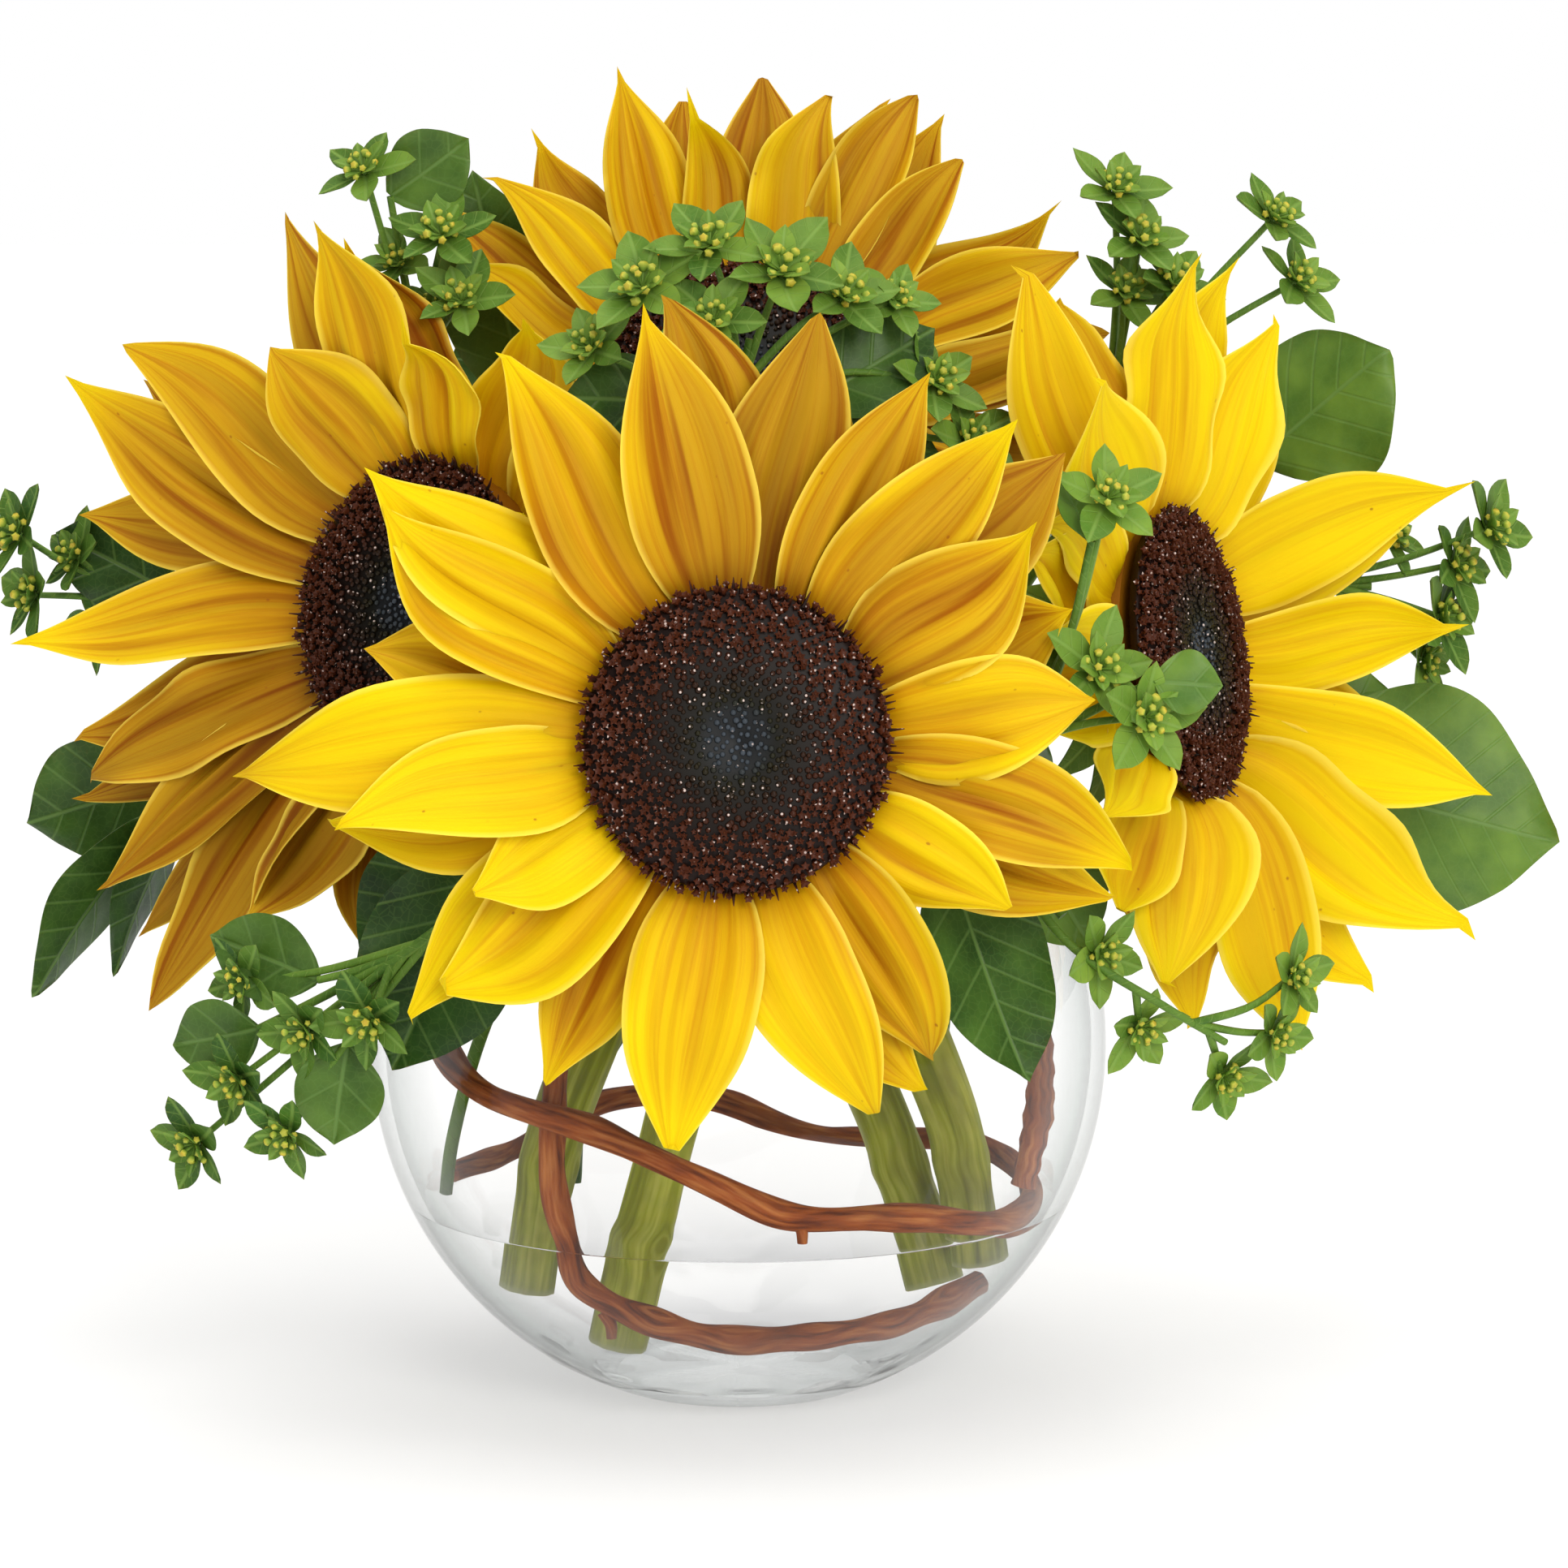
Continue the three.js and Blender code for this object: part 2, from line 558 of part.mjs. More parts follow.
// A thin branch to a leaf or umbel leaves the nearest stem a little way back along it and bends towards it.
// What comes back is its few points, from the stem's middle to the leaf or umbel.
function branchPath(lines, to) {
  const line = lines.reduce((best, one) =>
    one[nearestOn(one, to)].distanceTo(to) < best[nearestOn(best, to)].distanceTo(to) ? one : best,
  );
  const nearest = nearestOn(line, to);
  const distance = line[nearest].distanceTo(to);
  let k = nearest;
  while (k > 1 && line[k].distanceTo(line[nearest]) < 0.35 * distance) {
    k--;
  }
  const along = line[k].clone().sub(line[k - 1]).normalize();
  const middle = line[k].clone().lerp(to, 0.5).addScaledVector(along, 0.12 * distance);
  return distance < 12 ? [line[k], to] : [line[k], middle, to];
}

// Rings of points round a branch, one at each of its points but the last.
function branchRings(path, side, sides, thickness) {
  return path.slice(0, -1).map((at, k) => {
    const along = path[k + 1].clone().sub(at).normalize();
    const across = side.clone().addScaledVector(along, -side.dot(along)).normalize();
    const other = along.clone().cross(across);
    return Array.from({ length: sides }, (_, i) => {
      const a = (2 * Math.PI * i) / sides;
      return at
        .clone()
        .addScaledVector(across, thickness * Math.cos(a))
        .addScaledVector(other, thickness * Math.sin(a));
    });
  });
}

// An umbel on its branch: a starry ring of pointed bracts, round a raised knob of florets.
function umbelSolid(path, facing, size, seed) {
  const { valley, cup, edge, knob } = UMBEL;
  const at = path[path.length - 1];
  const place = placeOf({ centre: at.toArray(), normal: facing.toArray() });
  const point = (r, a, z) => new THREE.Vector3(r * Math.cos(a), r * Math.sin(a), z).applyMatrix4(place);
  const turn = (2 * Math.PI * draw(seed, 40)) / 5;
  const points = [point(0, 0, knob)];
  for (let i = 0; i < 5; i++) {
    const a = turn + (2 * Math.PI * i) / 5;
    const reach = size * lerp(1.05, 1.35, draw(seed, i));
    points.push(point(reach, a, size * cup * lerp(0.4, 1.2, draw(seed, i + 20))));
    points.push(point(size * valley, a + Math.PI / 5, edge));
    points.push(point(size * valley, a + Math.PI / 5, -edge));
  }
  const triangles = [];
  const under = [];
  for (let i = 0; i < 5; i++) {
    const [tip, above, below] = [1 + 3 * i, 2 + 3 * i, 3 + 3 * i];
    const next = 1 + 3 * ((i + 1) % 5);
    triangles.push(0, tip, above, 0, above, next, tip, below, above, above, below, next);
    under.push(tip, below);
  }
  // The underside narrows to three points, which the branch goes on from.
  const neck = points.length;
  for (let k = 0; k < 3; k++) {
    points.push(point(TWIG.branch, turn + (2 * Math.PI * k) / 3, -1.4));
  }
  const nearest = under.map((_, j) => neck + (Math.round((3 * j) / 10) % 3));
  under.forEach((from, j) => {
    const to = (j + 1) % under.length;
    triangles.push(under[to], from, nearest[j]);
    if (nearest[to] !== nearest[j]) {
      triangles.push(under[to], nearest[j], nearest[to]);
    }
  });
  const side = points[neck].clone().sub(at);
  side.addScaledVector(facing, -side.dot(facing));
  const rings = branchRings(path, side, 3, TWIG.branch).reverse();
  rings.forEach((ring) => {
    const start = points.length;
    points.push(...ring);
    for (let k = 0; k < 3; k++) {
      const l = (k + 1) % 3;
      triangles.push(start - 3 + k, start + k, start - 3 + l, start - 3 + l, start + k, start + l);
    }
  });
  const end = points.length - 3;
  triangles.push(end, end + 2, end + 1);
  return toSolid(fromTriangles(points, triangles));
}

const LEAF_ROWS = [[0, 0.16], [0.3, 0.86], [0.6, 0.96], [0.86, 0.5], [1, 0]];
const MIDDLE = new THREE.Vector3(0, -5, 130);

// A leaf on its branch. Its upper face looks away from the bouquet's middle, or the way it's told.
function leafSolid(path, tip, width, facing, seed) {
  const root = path[path.length - 1];
  const out = tip.clone().sub(root).normalize();
  const up = facing ? vec(facing) : root.clone().lerp(tip, 0.5).sub(MIDDLE).normalize();
  up.addScaledVector(out, -up.dot(out)).normalize();
  const curl = lerp(6, 20, draw(seed, 3));
  return blade({
    root,
    out,
    up,
    length: root.distanceTo(tip),
    width,
    thickness: 1.2,
    channel: 0.09 * width,
    lift: [curl, -curl],
    turn: lerp(-8, 8, draw(seed, 5)),
    rows: LEAF_ROWS,
    stalk: branchRings(path, up.clone().cross(out), 4, TWIG.branch),
  });
}

function stemOf(stem, thickness) {
  return rod(stem, () => thickness, 4, stem.length + 1);
}

const FORK_STEPS = 3;

function greenSolid({ stem, forks = [], umbels = [], leaves = [] }, seed) {
  const main = pointsAlong(stem, stem.length + 1);
  const lines = [main];
  const solids = [stemOf(stem, TWIG.stem)];
  forks.forEach(([first, ...rest]) => {
    const fork = [main[nearestOn(main, vec(first))].toArray(), ...rest];
    lines.push(pointsAlong(fork, FORK_STEPS));
    solids.push(rod(fork, () => TWIG.branch, 4, FORK_STEPS));
  });
  umbels.forEach(([x, y, z, size], i) => {
    const at = new THREE.Vector3(x, y, z);
    const path = branchPath(lines, at);
    const branch = at.clone().sub(path[path.length - 2]).normalize();
    const facing = at.clone().sub(MIDDLE).normalize().add(new THREE.Vector3(0, -1.3, 0.2));
    facing.addScaledVector(branch, 0.6).normalize();
    solids.push(umbelSolid(path, facing, size, seed + 9 * i));
  });
  leaves.forEach(([root, tip, width, facing], i) => {
    solids.push(leafSolid(branchPath(lines, vec(root)), vec(tip), width, facing, seed + 5 * i));
  });
  return largestBody(fuse(solids));
}

// The water, with a plain hole for each stem and vine that stands in it.

function waterSolid() {
  const { floor, sides } = BOWL;
  const wall = INNER_WALL.map(([r, z]) => [r - GAP, z]);
  const under = wall.findIndex(([, z]) => z < WATER_LEVEL);
  const [[r0, z0], [r1, z1]] = [wall[under - 1], wall[under]];
  const edge = lerp(r0, r1, (WATER_LEVEL - z0) / (z1 - z0));
  const below = wall.slice(under);
  below[below.length - 1][1] = floor + GAP;
  const profile = [[0, floor + GAP], ...below.reverse(), [edge, WATER_LEVEL], [0, WATER_LEVEL]];
  const holes = [
    ...Object.values(FLOWERS).map((flower) => stemRod(flower, () => STEM_RADIUS * 1.05 + GAP)),
    ...Object.values(VINES).map((points) => vineRod(points, () => VINE_RADIUS * 1.02 + GAP)),
    ...Object.values(GREENS).map(({ stem }) => stemOf(stem, TWIG.stem + 1.5 * GAP)),
  ];
  return largestBody(holes.reduce((left, one) => left.subtract(one), toSolid(turned(profile, sides))));
}

addNode("bowl", bowlSolid(), "glass");
addNode("water", waterSolid(), "water");
Object.entries(FLOWERS).forEach(([name, flower], i) => buildFlower(name, flower, 11 + 5 * i));
Object.entries(VINES).forEach(([name, points], i) => {
  const knotted = (share) => VINE_RADIUS * (0.92 + 0.1 * Math.sin(share * 61 + i));
  addNode(`vine_${name}`, vineRod(points, knotted), "vine");
});
Object.entries(GREENS).forEach(([name, green], i) => {
  addNode(name, greenSolid(green, 3 + 7 * i), name.startsWith("leafy") ? "leaf" : "spray");
});

export default bouquet;
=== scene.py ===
# %% [markdown]
# # Cut sunflowers in a glass bubble bowl
# Four sunflowers, sprays of small greenish flowers, leafy branches and three lengths of brown vine stand in a
# round glass bowl with some water. The solids of the CAD model are the fixed frame: each one gives the place
# and the size of a piece, and this script swaps it for a finer mesh that keeps the same form.
# All shapes are written in millimetres, as in the CAD model, and turned into metres when a mesh is made.

# %% Load the fixed frame
import math

import bpy
import numpy as np
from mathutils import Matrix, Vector


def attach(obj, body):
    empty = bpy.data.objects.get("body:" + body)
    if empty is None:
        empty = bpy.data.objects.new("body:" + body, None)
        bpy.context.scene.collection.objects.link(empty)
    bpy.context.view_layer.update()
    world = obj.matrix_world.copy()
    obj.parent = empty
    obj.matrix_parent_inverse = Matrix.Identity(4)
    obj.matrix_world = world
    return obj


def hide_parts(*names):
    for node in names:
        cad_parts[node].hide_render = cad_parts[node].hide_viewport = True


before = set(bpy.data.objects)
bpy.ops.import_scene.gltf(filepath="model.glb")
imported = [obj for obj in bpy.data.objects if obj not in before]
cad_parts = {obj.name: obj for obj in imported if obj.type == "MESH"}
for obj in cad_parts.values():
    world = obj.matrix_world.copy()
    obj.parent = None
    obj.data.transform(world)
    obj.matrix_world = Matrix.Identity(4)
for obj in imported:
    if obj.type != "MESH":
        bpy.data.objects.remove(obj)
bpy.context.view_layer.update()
MM = 0.001
print("solids in the frame:", len(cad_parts))

# %% [markdown]
# ## Small tools for growing shapes
# Every plant here is either a rod along a bent line or a thin blade, so two functions make nearly everything.
# Both give rings of points, and one skin is stretched over them. A skin could also come from modifiers, but
# rings let each point carry its own marks, such as how far along a petal it is, and the materials read those.

# %% Numbers and directions
UP = np.array((0, 0, 1))


def draw(seed, index):
    """A number from 0 to 1 that is the same on every run."""
    wave = math.sin(seed * 12.9898 + index * 78.233) * 43758.5453
    return wave - math.floor(wave)


def between(low, high, share):
    return low + (high - low) * share


def pick(low, high, seed, index):
    """A number between low and high that is the same on every run."""
    return between(low, high, draw(seed, index))


def unit(v):
    v = np.asarray(v, float)
    return v / np.linalg.norm(v)


def spun(v, axis, degrees):
    """v turned about axis."""
    a = math.radians(degrees)
    return v * math.cos(a) + np.cross(axis, v) * math.sin(a) + axis * np.dot(axis, v) * (1 - math.cos(a))


def spoke(angle):
    """The level direction at an angle in radians."""
    return np.array((math.cos(angle), math.sin(angle), 0))


def tipped(outward, tilt):
    """The upward direction, tipped outward by tilt radians."""
    return outward * math.sin(tilt) + UP * math.cos(tilt)


def axes_on(axis):
    """Three square directions as rows, the last one along axis."""
    across = unit(np.cross(axis, (0.3, 1, 0.2)))
    return np.array([across, np.cross(axis, across), axis])


print("same number each run:", round(draw(1, 2), 4))

# %% Smooth lines
def smooth(points, per_span=24):
    """Close points on a centripetal Catmull-Rom curve, the kind that never loops between its own points."""
    p = np.asarray(points, float)
    p = np.vstack([2 * p[0] - p[1], p, 2 * p[-1] - p[-2]])
    t = np.linspace(0, 1, per_span, endpoint=False)[:, None]
    line = []
    for a, b, c, d in zip(p, p[1:], p[2:], p[3:]):
        ab, bc, cd = (max(np.linalg.norm(v), 1e-4) ** 0.5 for v in (b - a, c - b, d - c))
        leave = ((b - a) / ab - (c - a) / (ab + bc) + (c - b) / bc) * bc
        meet = ((c - b) / bc - (d - b) / (bc + cd) + (d - c) / cd) * bc
        square = 3 * (c - b) - 2 * leave - meet
        cube = 2 * (b - c) + leave + meet
        line.append(b + leave * t + square * t**2 + cube * t**3)
    return np.vstack(line + [p[-2:-1]])


def spaced(line, steps):
    """Points at equal steps along a line, its direction at each, and its length."""
    run = np.concatenate([[0], np.cumsum(np.linalg.norm(np.diff(line, axis=0), axis=1))])
    at = np.linspace(0, run[-1], steps + 1)
    points = np.stack([np.interp(at, run, line[:, k]) for k in range(3)], axis=1)
    ways = np.gradient(points, axis=0)
    return points, ways / np.linalg.norm(ways, axis=1)[:, None], run[-1]


def profile(rows, shares):
    """A smooth outline through [share, value] rows, read at the given shares."""
    curve = smooth([[s, w, 0] for s, w in rows])
    return np.clip(np.interp(shares, curve[:, 0], curve[:, 1]), 0, None)


print("a bend of three points has", len(smooth([(0, 0, 0), (1, 0, 0), (1, 1, 0)])), "close points")

# %% One skin over rings of points
# A skin is its points, its faces, the marks of each point, and the number of its finish. The marks are the
# share along, the share across, a number that is its own for each blade or rod, millimetres along,
# millimetres across, and a tone, which on petals and leaves also carries painted shade and painted light.
ALONG, ACROSS, EACH, MM_ALONG, MM_ACROSS, TONE = range(6)


def blank_marks(*shape):
    return np.zeros((*shape, TONE + 1))


def skin(rings, marks, start=None, end=None, finish=0):
    rings = np.asarray(rings, float)
    n, m, _ = rings.shape
    first = rings[0].mean(axis=0) if start is None else start
    last = rings[-1].mean(axis=0) if end is None else end
    points = np.vstack([rings.reshape(-1, 3), [first], [last]])
    ends = [[marks[k].mean(axis=0)] for k in (0, -1)]
    marks = np.vstack([marks.reshape(n * m, -1), *ends])
    k, i = (g.ravel() for g in np.meshgrid(np.arange(n - 1), np.arange(m), indexing="ij"))
    a, b = k * m + i, k * m + (i + 1) % m
    j = np.arange(m)
    far = (n - 1) * m
    faces = np.stack([a, b, b + m, a + m], axis=1).tolist()
    faces += np.stack([np.full(m, n * m), (j + 1) % m, j], axis=1).tolist()
    faces += np.stack([far + j, far + (j + 1) % m, np.full(m, n * m + 1)], axis=1).tolist()
    return points, faces, marks, finish


def rod(line, radius, sides, steps, each=0.0, tone=0.0):
    """A skin round a line. radius takes shares, angles and millimetres along, and gives millimetres."""
    points, ways, length = spaced(line, steps)
    angles = 2 * np.pi * np.arange(sides) / sides
    shares = np.linspace(0, 1, steps + 1)[:, None]
    radii = np.broadcast_to(radius(shares, angles[None, :], shares * length), (steps + 1, sides))
    side = np.cross((0.3, 1, 0.1), ways[0])
    rings = []
    for at, way, r in zip(points, ways, radii):
        side = unit(side - way * side.dot(way))
        other = np.cross(way, side)
        rings.append(at + np.outer(r * np.cos(angles), side) + np.outer(r * np.sin(angles), other))
    marks = blank_marks(steps + 1, sides)
    marks[..., ALONG] = shares
    marks[..., ACROSS] = angles / (2 * np.pi)
    marks[..., EACH] = each
    marks[..., MM_ALONG] = shares * length
    marks[..., MM_ACROSS] = radii * np.minimum(angles, 2 * np.pi - angles)
    marks[..., TONE] = tone
    return skin(rings, marks)


def tapered(start, end):
    """A rod's radius that goes evenly from start to end."""
    return lambda share, angle, along: (start + (end - start) * share) * (1 + 0.03 * np.cos(5 * angle))


print("rods ready")

# %% Turned skins, and copies of a small one
LATHE_TURN = 2 * np.pi * 20


def ring_of(radius, height, sides, lobed=0.0):
    a = 2 * np.pi * np.arange(sides) / sides
    r = radius * (1 - lobed * (np.arange(sides) % 2))
    return np.stack([r * np.cos(a), r * np.sin(a), np.full(sides, height)], axis=1)


def lathe(rows, sides, start, end, tone=0.0, reach=1.0):
    """A turned skin. Each row is [radius, height]. The share along is the part of reach, and millimetres
    across go round as they do 20 mm from the middle."""
    rings = [ring_of(r, z, sides) for r, z in rows]
    turns = np.arange(sides) / sides
    marks = blank_marks(len(rows), sides)
    marks[..., ALONG] = np.array([[r / reach] for r, _ in rows])
    marks[..., ACROSS] = np.linspace(0, 1, len(rows))[:, None]
    marks[..., MM_ALONG] = np.array([[z] for _, z in rows])
    marks[..., MM_ACROSS] = LATHE_TURN * np.minimum(turns, 1 - turns)
    marks[..., TONE] = tone
    return skin(rings, marks, start=(0, 0, start), end=(0, 0, end))


def floret_template(rows, sides, top):
    """Rows are [radius, height, lobed]. The share across is the height inside the floret."""
    rings = [ring_of(r, z, sides, lobed) for r, z, lobed in rows]
    marks = blank_marks(len(rows), sides)
    marks[..., ACROSS] = np.array([[z / top] for _, z, _ in rows])
    return skin(rings, marks, end=(0, 0, top))


def copied(template, size, axes, base, notes, finish=0):
    """A small skin at its own size, turn and place, with notes in place of some of its marks."""
    points, faces, marks, _ = template
    marks = marks.copy()
    for column, value in notes.items():
        marks[:, column] = value
    return points * size @ axes + base, faces, marks, finish


print("turned skins ready")

# %% A thin blade, such as a petal or a leaf
# It starts at root, runs along out and faces up. It rises by lift degrees at its root and its tip and turns
# sideways by turn on its way, as its solid does, and form gives the hollows and folds of its face. It leans
# about its own line by roll degrees from its root on, and by twist degrees more at its tip. sway moves its
# middle sideways in millimetres, and the tone changes by a set amount for each millimetre of height, which
# paints shade into the hollows and furrows.
def blade(root, out, up, length, half, lift, rows, cols, form, thickness=0.5, turn=0.0, roll=0.0, twist=0.0,
          each=0.0, tone=0.0, fold_shade_per_mm=0.0, sway=np.zeros_like, finish=0):
    shares = np.linspace(0, 1, rows + 1) ** 0.9
    shares[-1] = 1.0
    root, out, up = (np.asarray(v, float) for v in (root, out, up))
    side = unit(np.cross(up, out))
    lifts = np.radians(between(lift[0], lift[1], shares))
    at = [root]
    for before, share in zip(shares, shares[1:]):
        middle = (before + share) / 2
        angle = math.radians(between(lift[0], lift[1], middle))
        step = spun(out, up, turn * middle) * math.cos(angle) + up * math.sin(angle)
        at.append(at[-1] + step * length * (share - before))
    halves = half(shares)
    u = np.linspace(1, -1, cols)
    there_and_back = np.concatenate([u, u[::-1]])
    heights = form(shares[:, None], u[None, :], halves[:, None])
    aside = sway(shares)
    thick = thickness / 2 * (1 - 0.6 * np.abs(u) ** 3)
    rings = []
    marks = blank_marks(rows, 2 * cols)
    for k, share in enumerate(shares[:-1]):
        face = up * math.cos(lifts[k]) - out * math.sin(lifts[k])
        across = spun(side, up, turn * share)
        lean = math.radians(roll * min(1, share / 0.15) + twist * share**2)
        across = across * math.cos(lean) + face * math.sin(lean)
        flat = at[k] + np.outer(u * halves[k] + aside[k], across)
        ring = [flat + np.outer(heights[k] + thick, face), (flat + np.outer(heights[k] - thick, face))[::-1]]
        rings.append(np.vstack(ring))
        marks[k, :, ALONG] = share
        marks[k, :, MM_ALONG] = share * length
        marks[k, :, MM_ACROSS] = there_and_back * halves[k]
        # Painted shade: points lower in a hollow or furrow get a deeper tone.
        marks[k, :, TONE] = tone + fold_shade_per_mm * np.concatenate([heights[k], heights[k][::-1]])
    marks[..., ACROSS] = there_and_back
    marks[..., EACH] = each
    end = at[-1] + up * heights[-1].mean() + spun(side, up, turn) * aside[-1]
    return skin(rings, marks, end=end, finish=finish)


print("blade ready")

# %% From skins to an object
SHARP_ANGLE = math.radians(60)


def make_piece(name, skins, nodes, finishes):
    """Joins skins into one smooth object that rides with the frame and stands for its CAD nodes."""
    points, faces, marks, indices = [], [], [], []
    count = 0
    for spots, tiles, notes, finish in skins:
        points.append(spots)
        marks.append(notes)
        faces.extend([[i + count for i in tile] for tile in tiles])
        indices.extend([finish] * len(tiles))
        count += len(spots)
    mesh = bpy.data.meshes.new(name)
    mesh.from_pydata((np.vstack(points) * MM).tolist(), [], faces)
    marks = np.vstack(marks)
    for label, part in (("part", marks[:, :3]), ("run", marks[:, 3:])):
        layer = mesh.attributes.new(label, "FLOAT_VECTOR", "POINT")
        layer.data.foreach_set("vector", np.ascontiguousarray(part, dtype=np.float32).ravel())
    for finish in finishes:
        mesh.materials.append(finish)
    mesh.polygons.foreach_set("material_index", indices)
    mesh.shade_smooth()
    mesh.set_sharp_from_angle(angle=SHARP_ANGLE)
    piece = bpy.data.objects.new(name, mesh)
    bpy.context.scene.collection.objects.link(piece)
    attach(piece, "root")
    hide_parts(*nodes)
    mesh.calc_loop_triangles()
    print(name, "has", len(mesh.loop_triangles), "triangles")


# %% [markdown]
# ## Tools for finishes
# A finish is a node tree. One function adds a node, sets what it is told and links what it is given, and
# another turns the sRGB colours that a painter would pick into the linear values that the renderer works in.
# Most finishes are a base colour with layers over it, each laid on by its own mask, so that is a loop.

# %% Colours and nodes
def linear(code):
    """sRGB hex such as #ffcc00 as linear red, green, blue and alpha."""
    parts = [int(code[i:i + 2], 16) / 255 for i in (1, 3, 5)]
    return [c / 12.92 if c <= 0.04045 else ((c + 0.055) / 1.055) ** 2.4 for c in parts] + [1.0]


def feed(node, inputs):
    """Gives a node its inputs, by name or in its own order. Each is a value, a hex colour, an output, or a
    whole node, which stands for its first output in use."""
    for name, value in inputs.items() if isinstance(inputs, dict) else enumerate(inputs):
        if isinstance(value, str):
            value = linear(value)
        if isinstance(value, bpy.types.Node):
            value = next(output for output in value.outputs if output.enabled)
        if isinstance(value, bpy.types.NodeSocket):
            node.id_data.links.new(value, node.inputs[name])
        else:
            node.inputs[name].default_value = value


def add(tree, kind, settings=None, inputs=(), stops=()):
    """Adds one node, with the stops of its ramp if it is one."""
    node = tree.nodes.new("ShaderNode" + kind)
    for name, value in (settings or {}).items():
        setattr(node, name, value)
    feed(node, inputs)
    for k, (place, code) in enumerate(stops):
        ramp = node.color_ramp.elements
        stop = ramp[k] if k < 2 else ramp.new(place)
        stop.position = place
        stop.color = linear(code)
    return node


def new_finish(name, **values):
    """A material with one Principled shader, whose constant values are set on its own sockets."""
    finish = bpy.data.materials.new(name)
    finish.use_nodes = True
    tree = finish.node_tree
    tree.nodes.clear()
    shader = add(tree, "BsdfPrincipled", inputs={label.replace("_", " "): v for label, v in values.items()})
    add(tree, "OutputMaterial", inputs={"Surface": shader})
    return finish, tree, shader


print("sunflower yellow in linear light:", [round(c, 3) for c in linear("#ffc400")])

# %% Marks, patterns and layers
# A colour Mix takes its mask, the colour below and the colour above at the three inputs numbered here.
TIMES = {"operation": "MULTIPLY"}
MIX_FACTOR, MIX_UNDER, MIX_OVER = 0, 6, 7


def read_marks(tree, labels=("part", "run")):
    """The marks of a skin as outputs, in their own order, three for each label."""
    outputs = []
    for label in labels:
        marks = add(tree, "Attribute", {"attribute_name": label})
        outputs.extend(add(tree, "SeparateXYZ", inputs=(marks.outputs["Vector"],)).outputs)
    return outputs


def pattern(tree, kind, place, scales, settings=None, **inputs):
    """A texture over a place in millimetres or shares, with its cells for each unit in three directions."""
    stretched = add(tree, "VectorMath", TIMES, (place, scales))
    return add(tree, kind, settings, {"Vector": stretched, "Scale": 1.0, **inputs})


def layered(tree, base, layers, blend="MIX"):
    """Lays (mask, colour) layers over a base one after the other."""
    for mask, colour in layers:
        base = add(tree, "Mix", {"data_type": "RGBA", "blend_type": blend},
                   {MIX_FACTOR: mask, MIX_UNDER: base, MIX_OVER: colour})
    return base


print("a colour Mix blends its inputs", MIX_UNDER, "and", MIX_OVER)
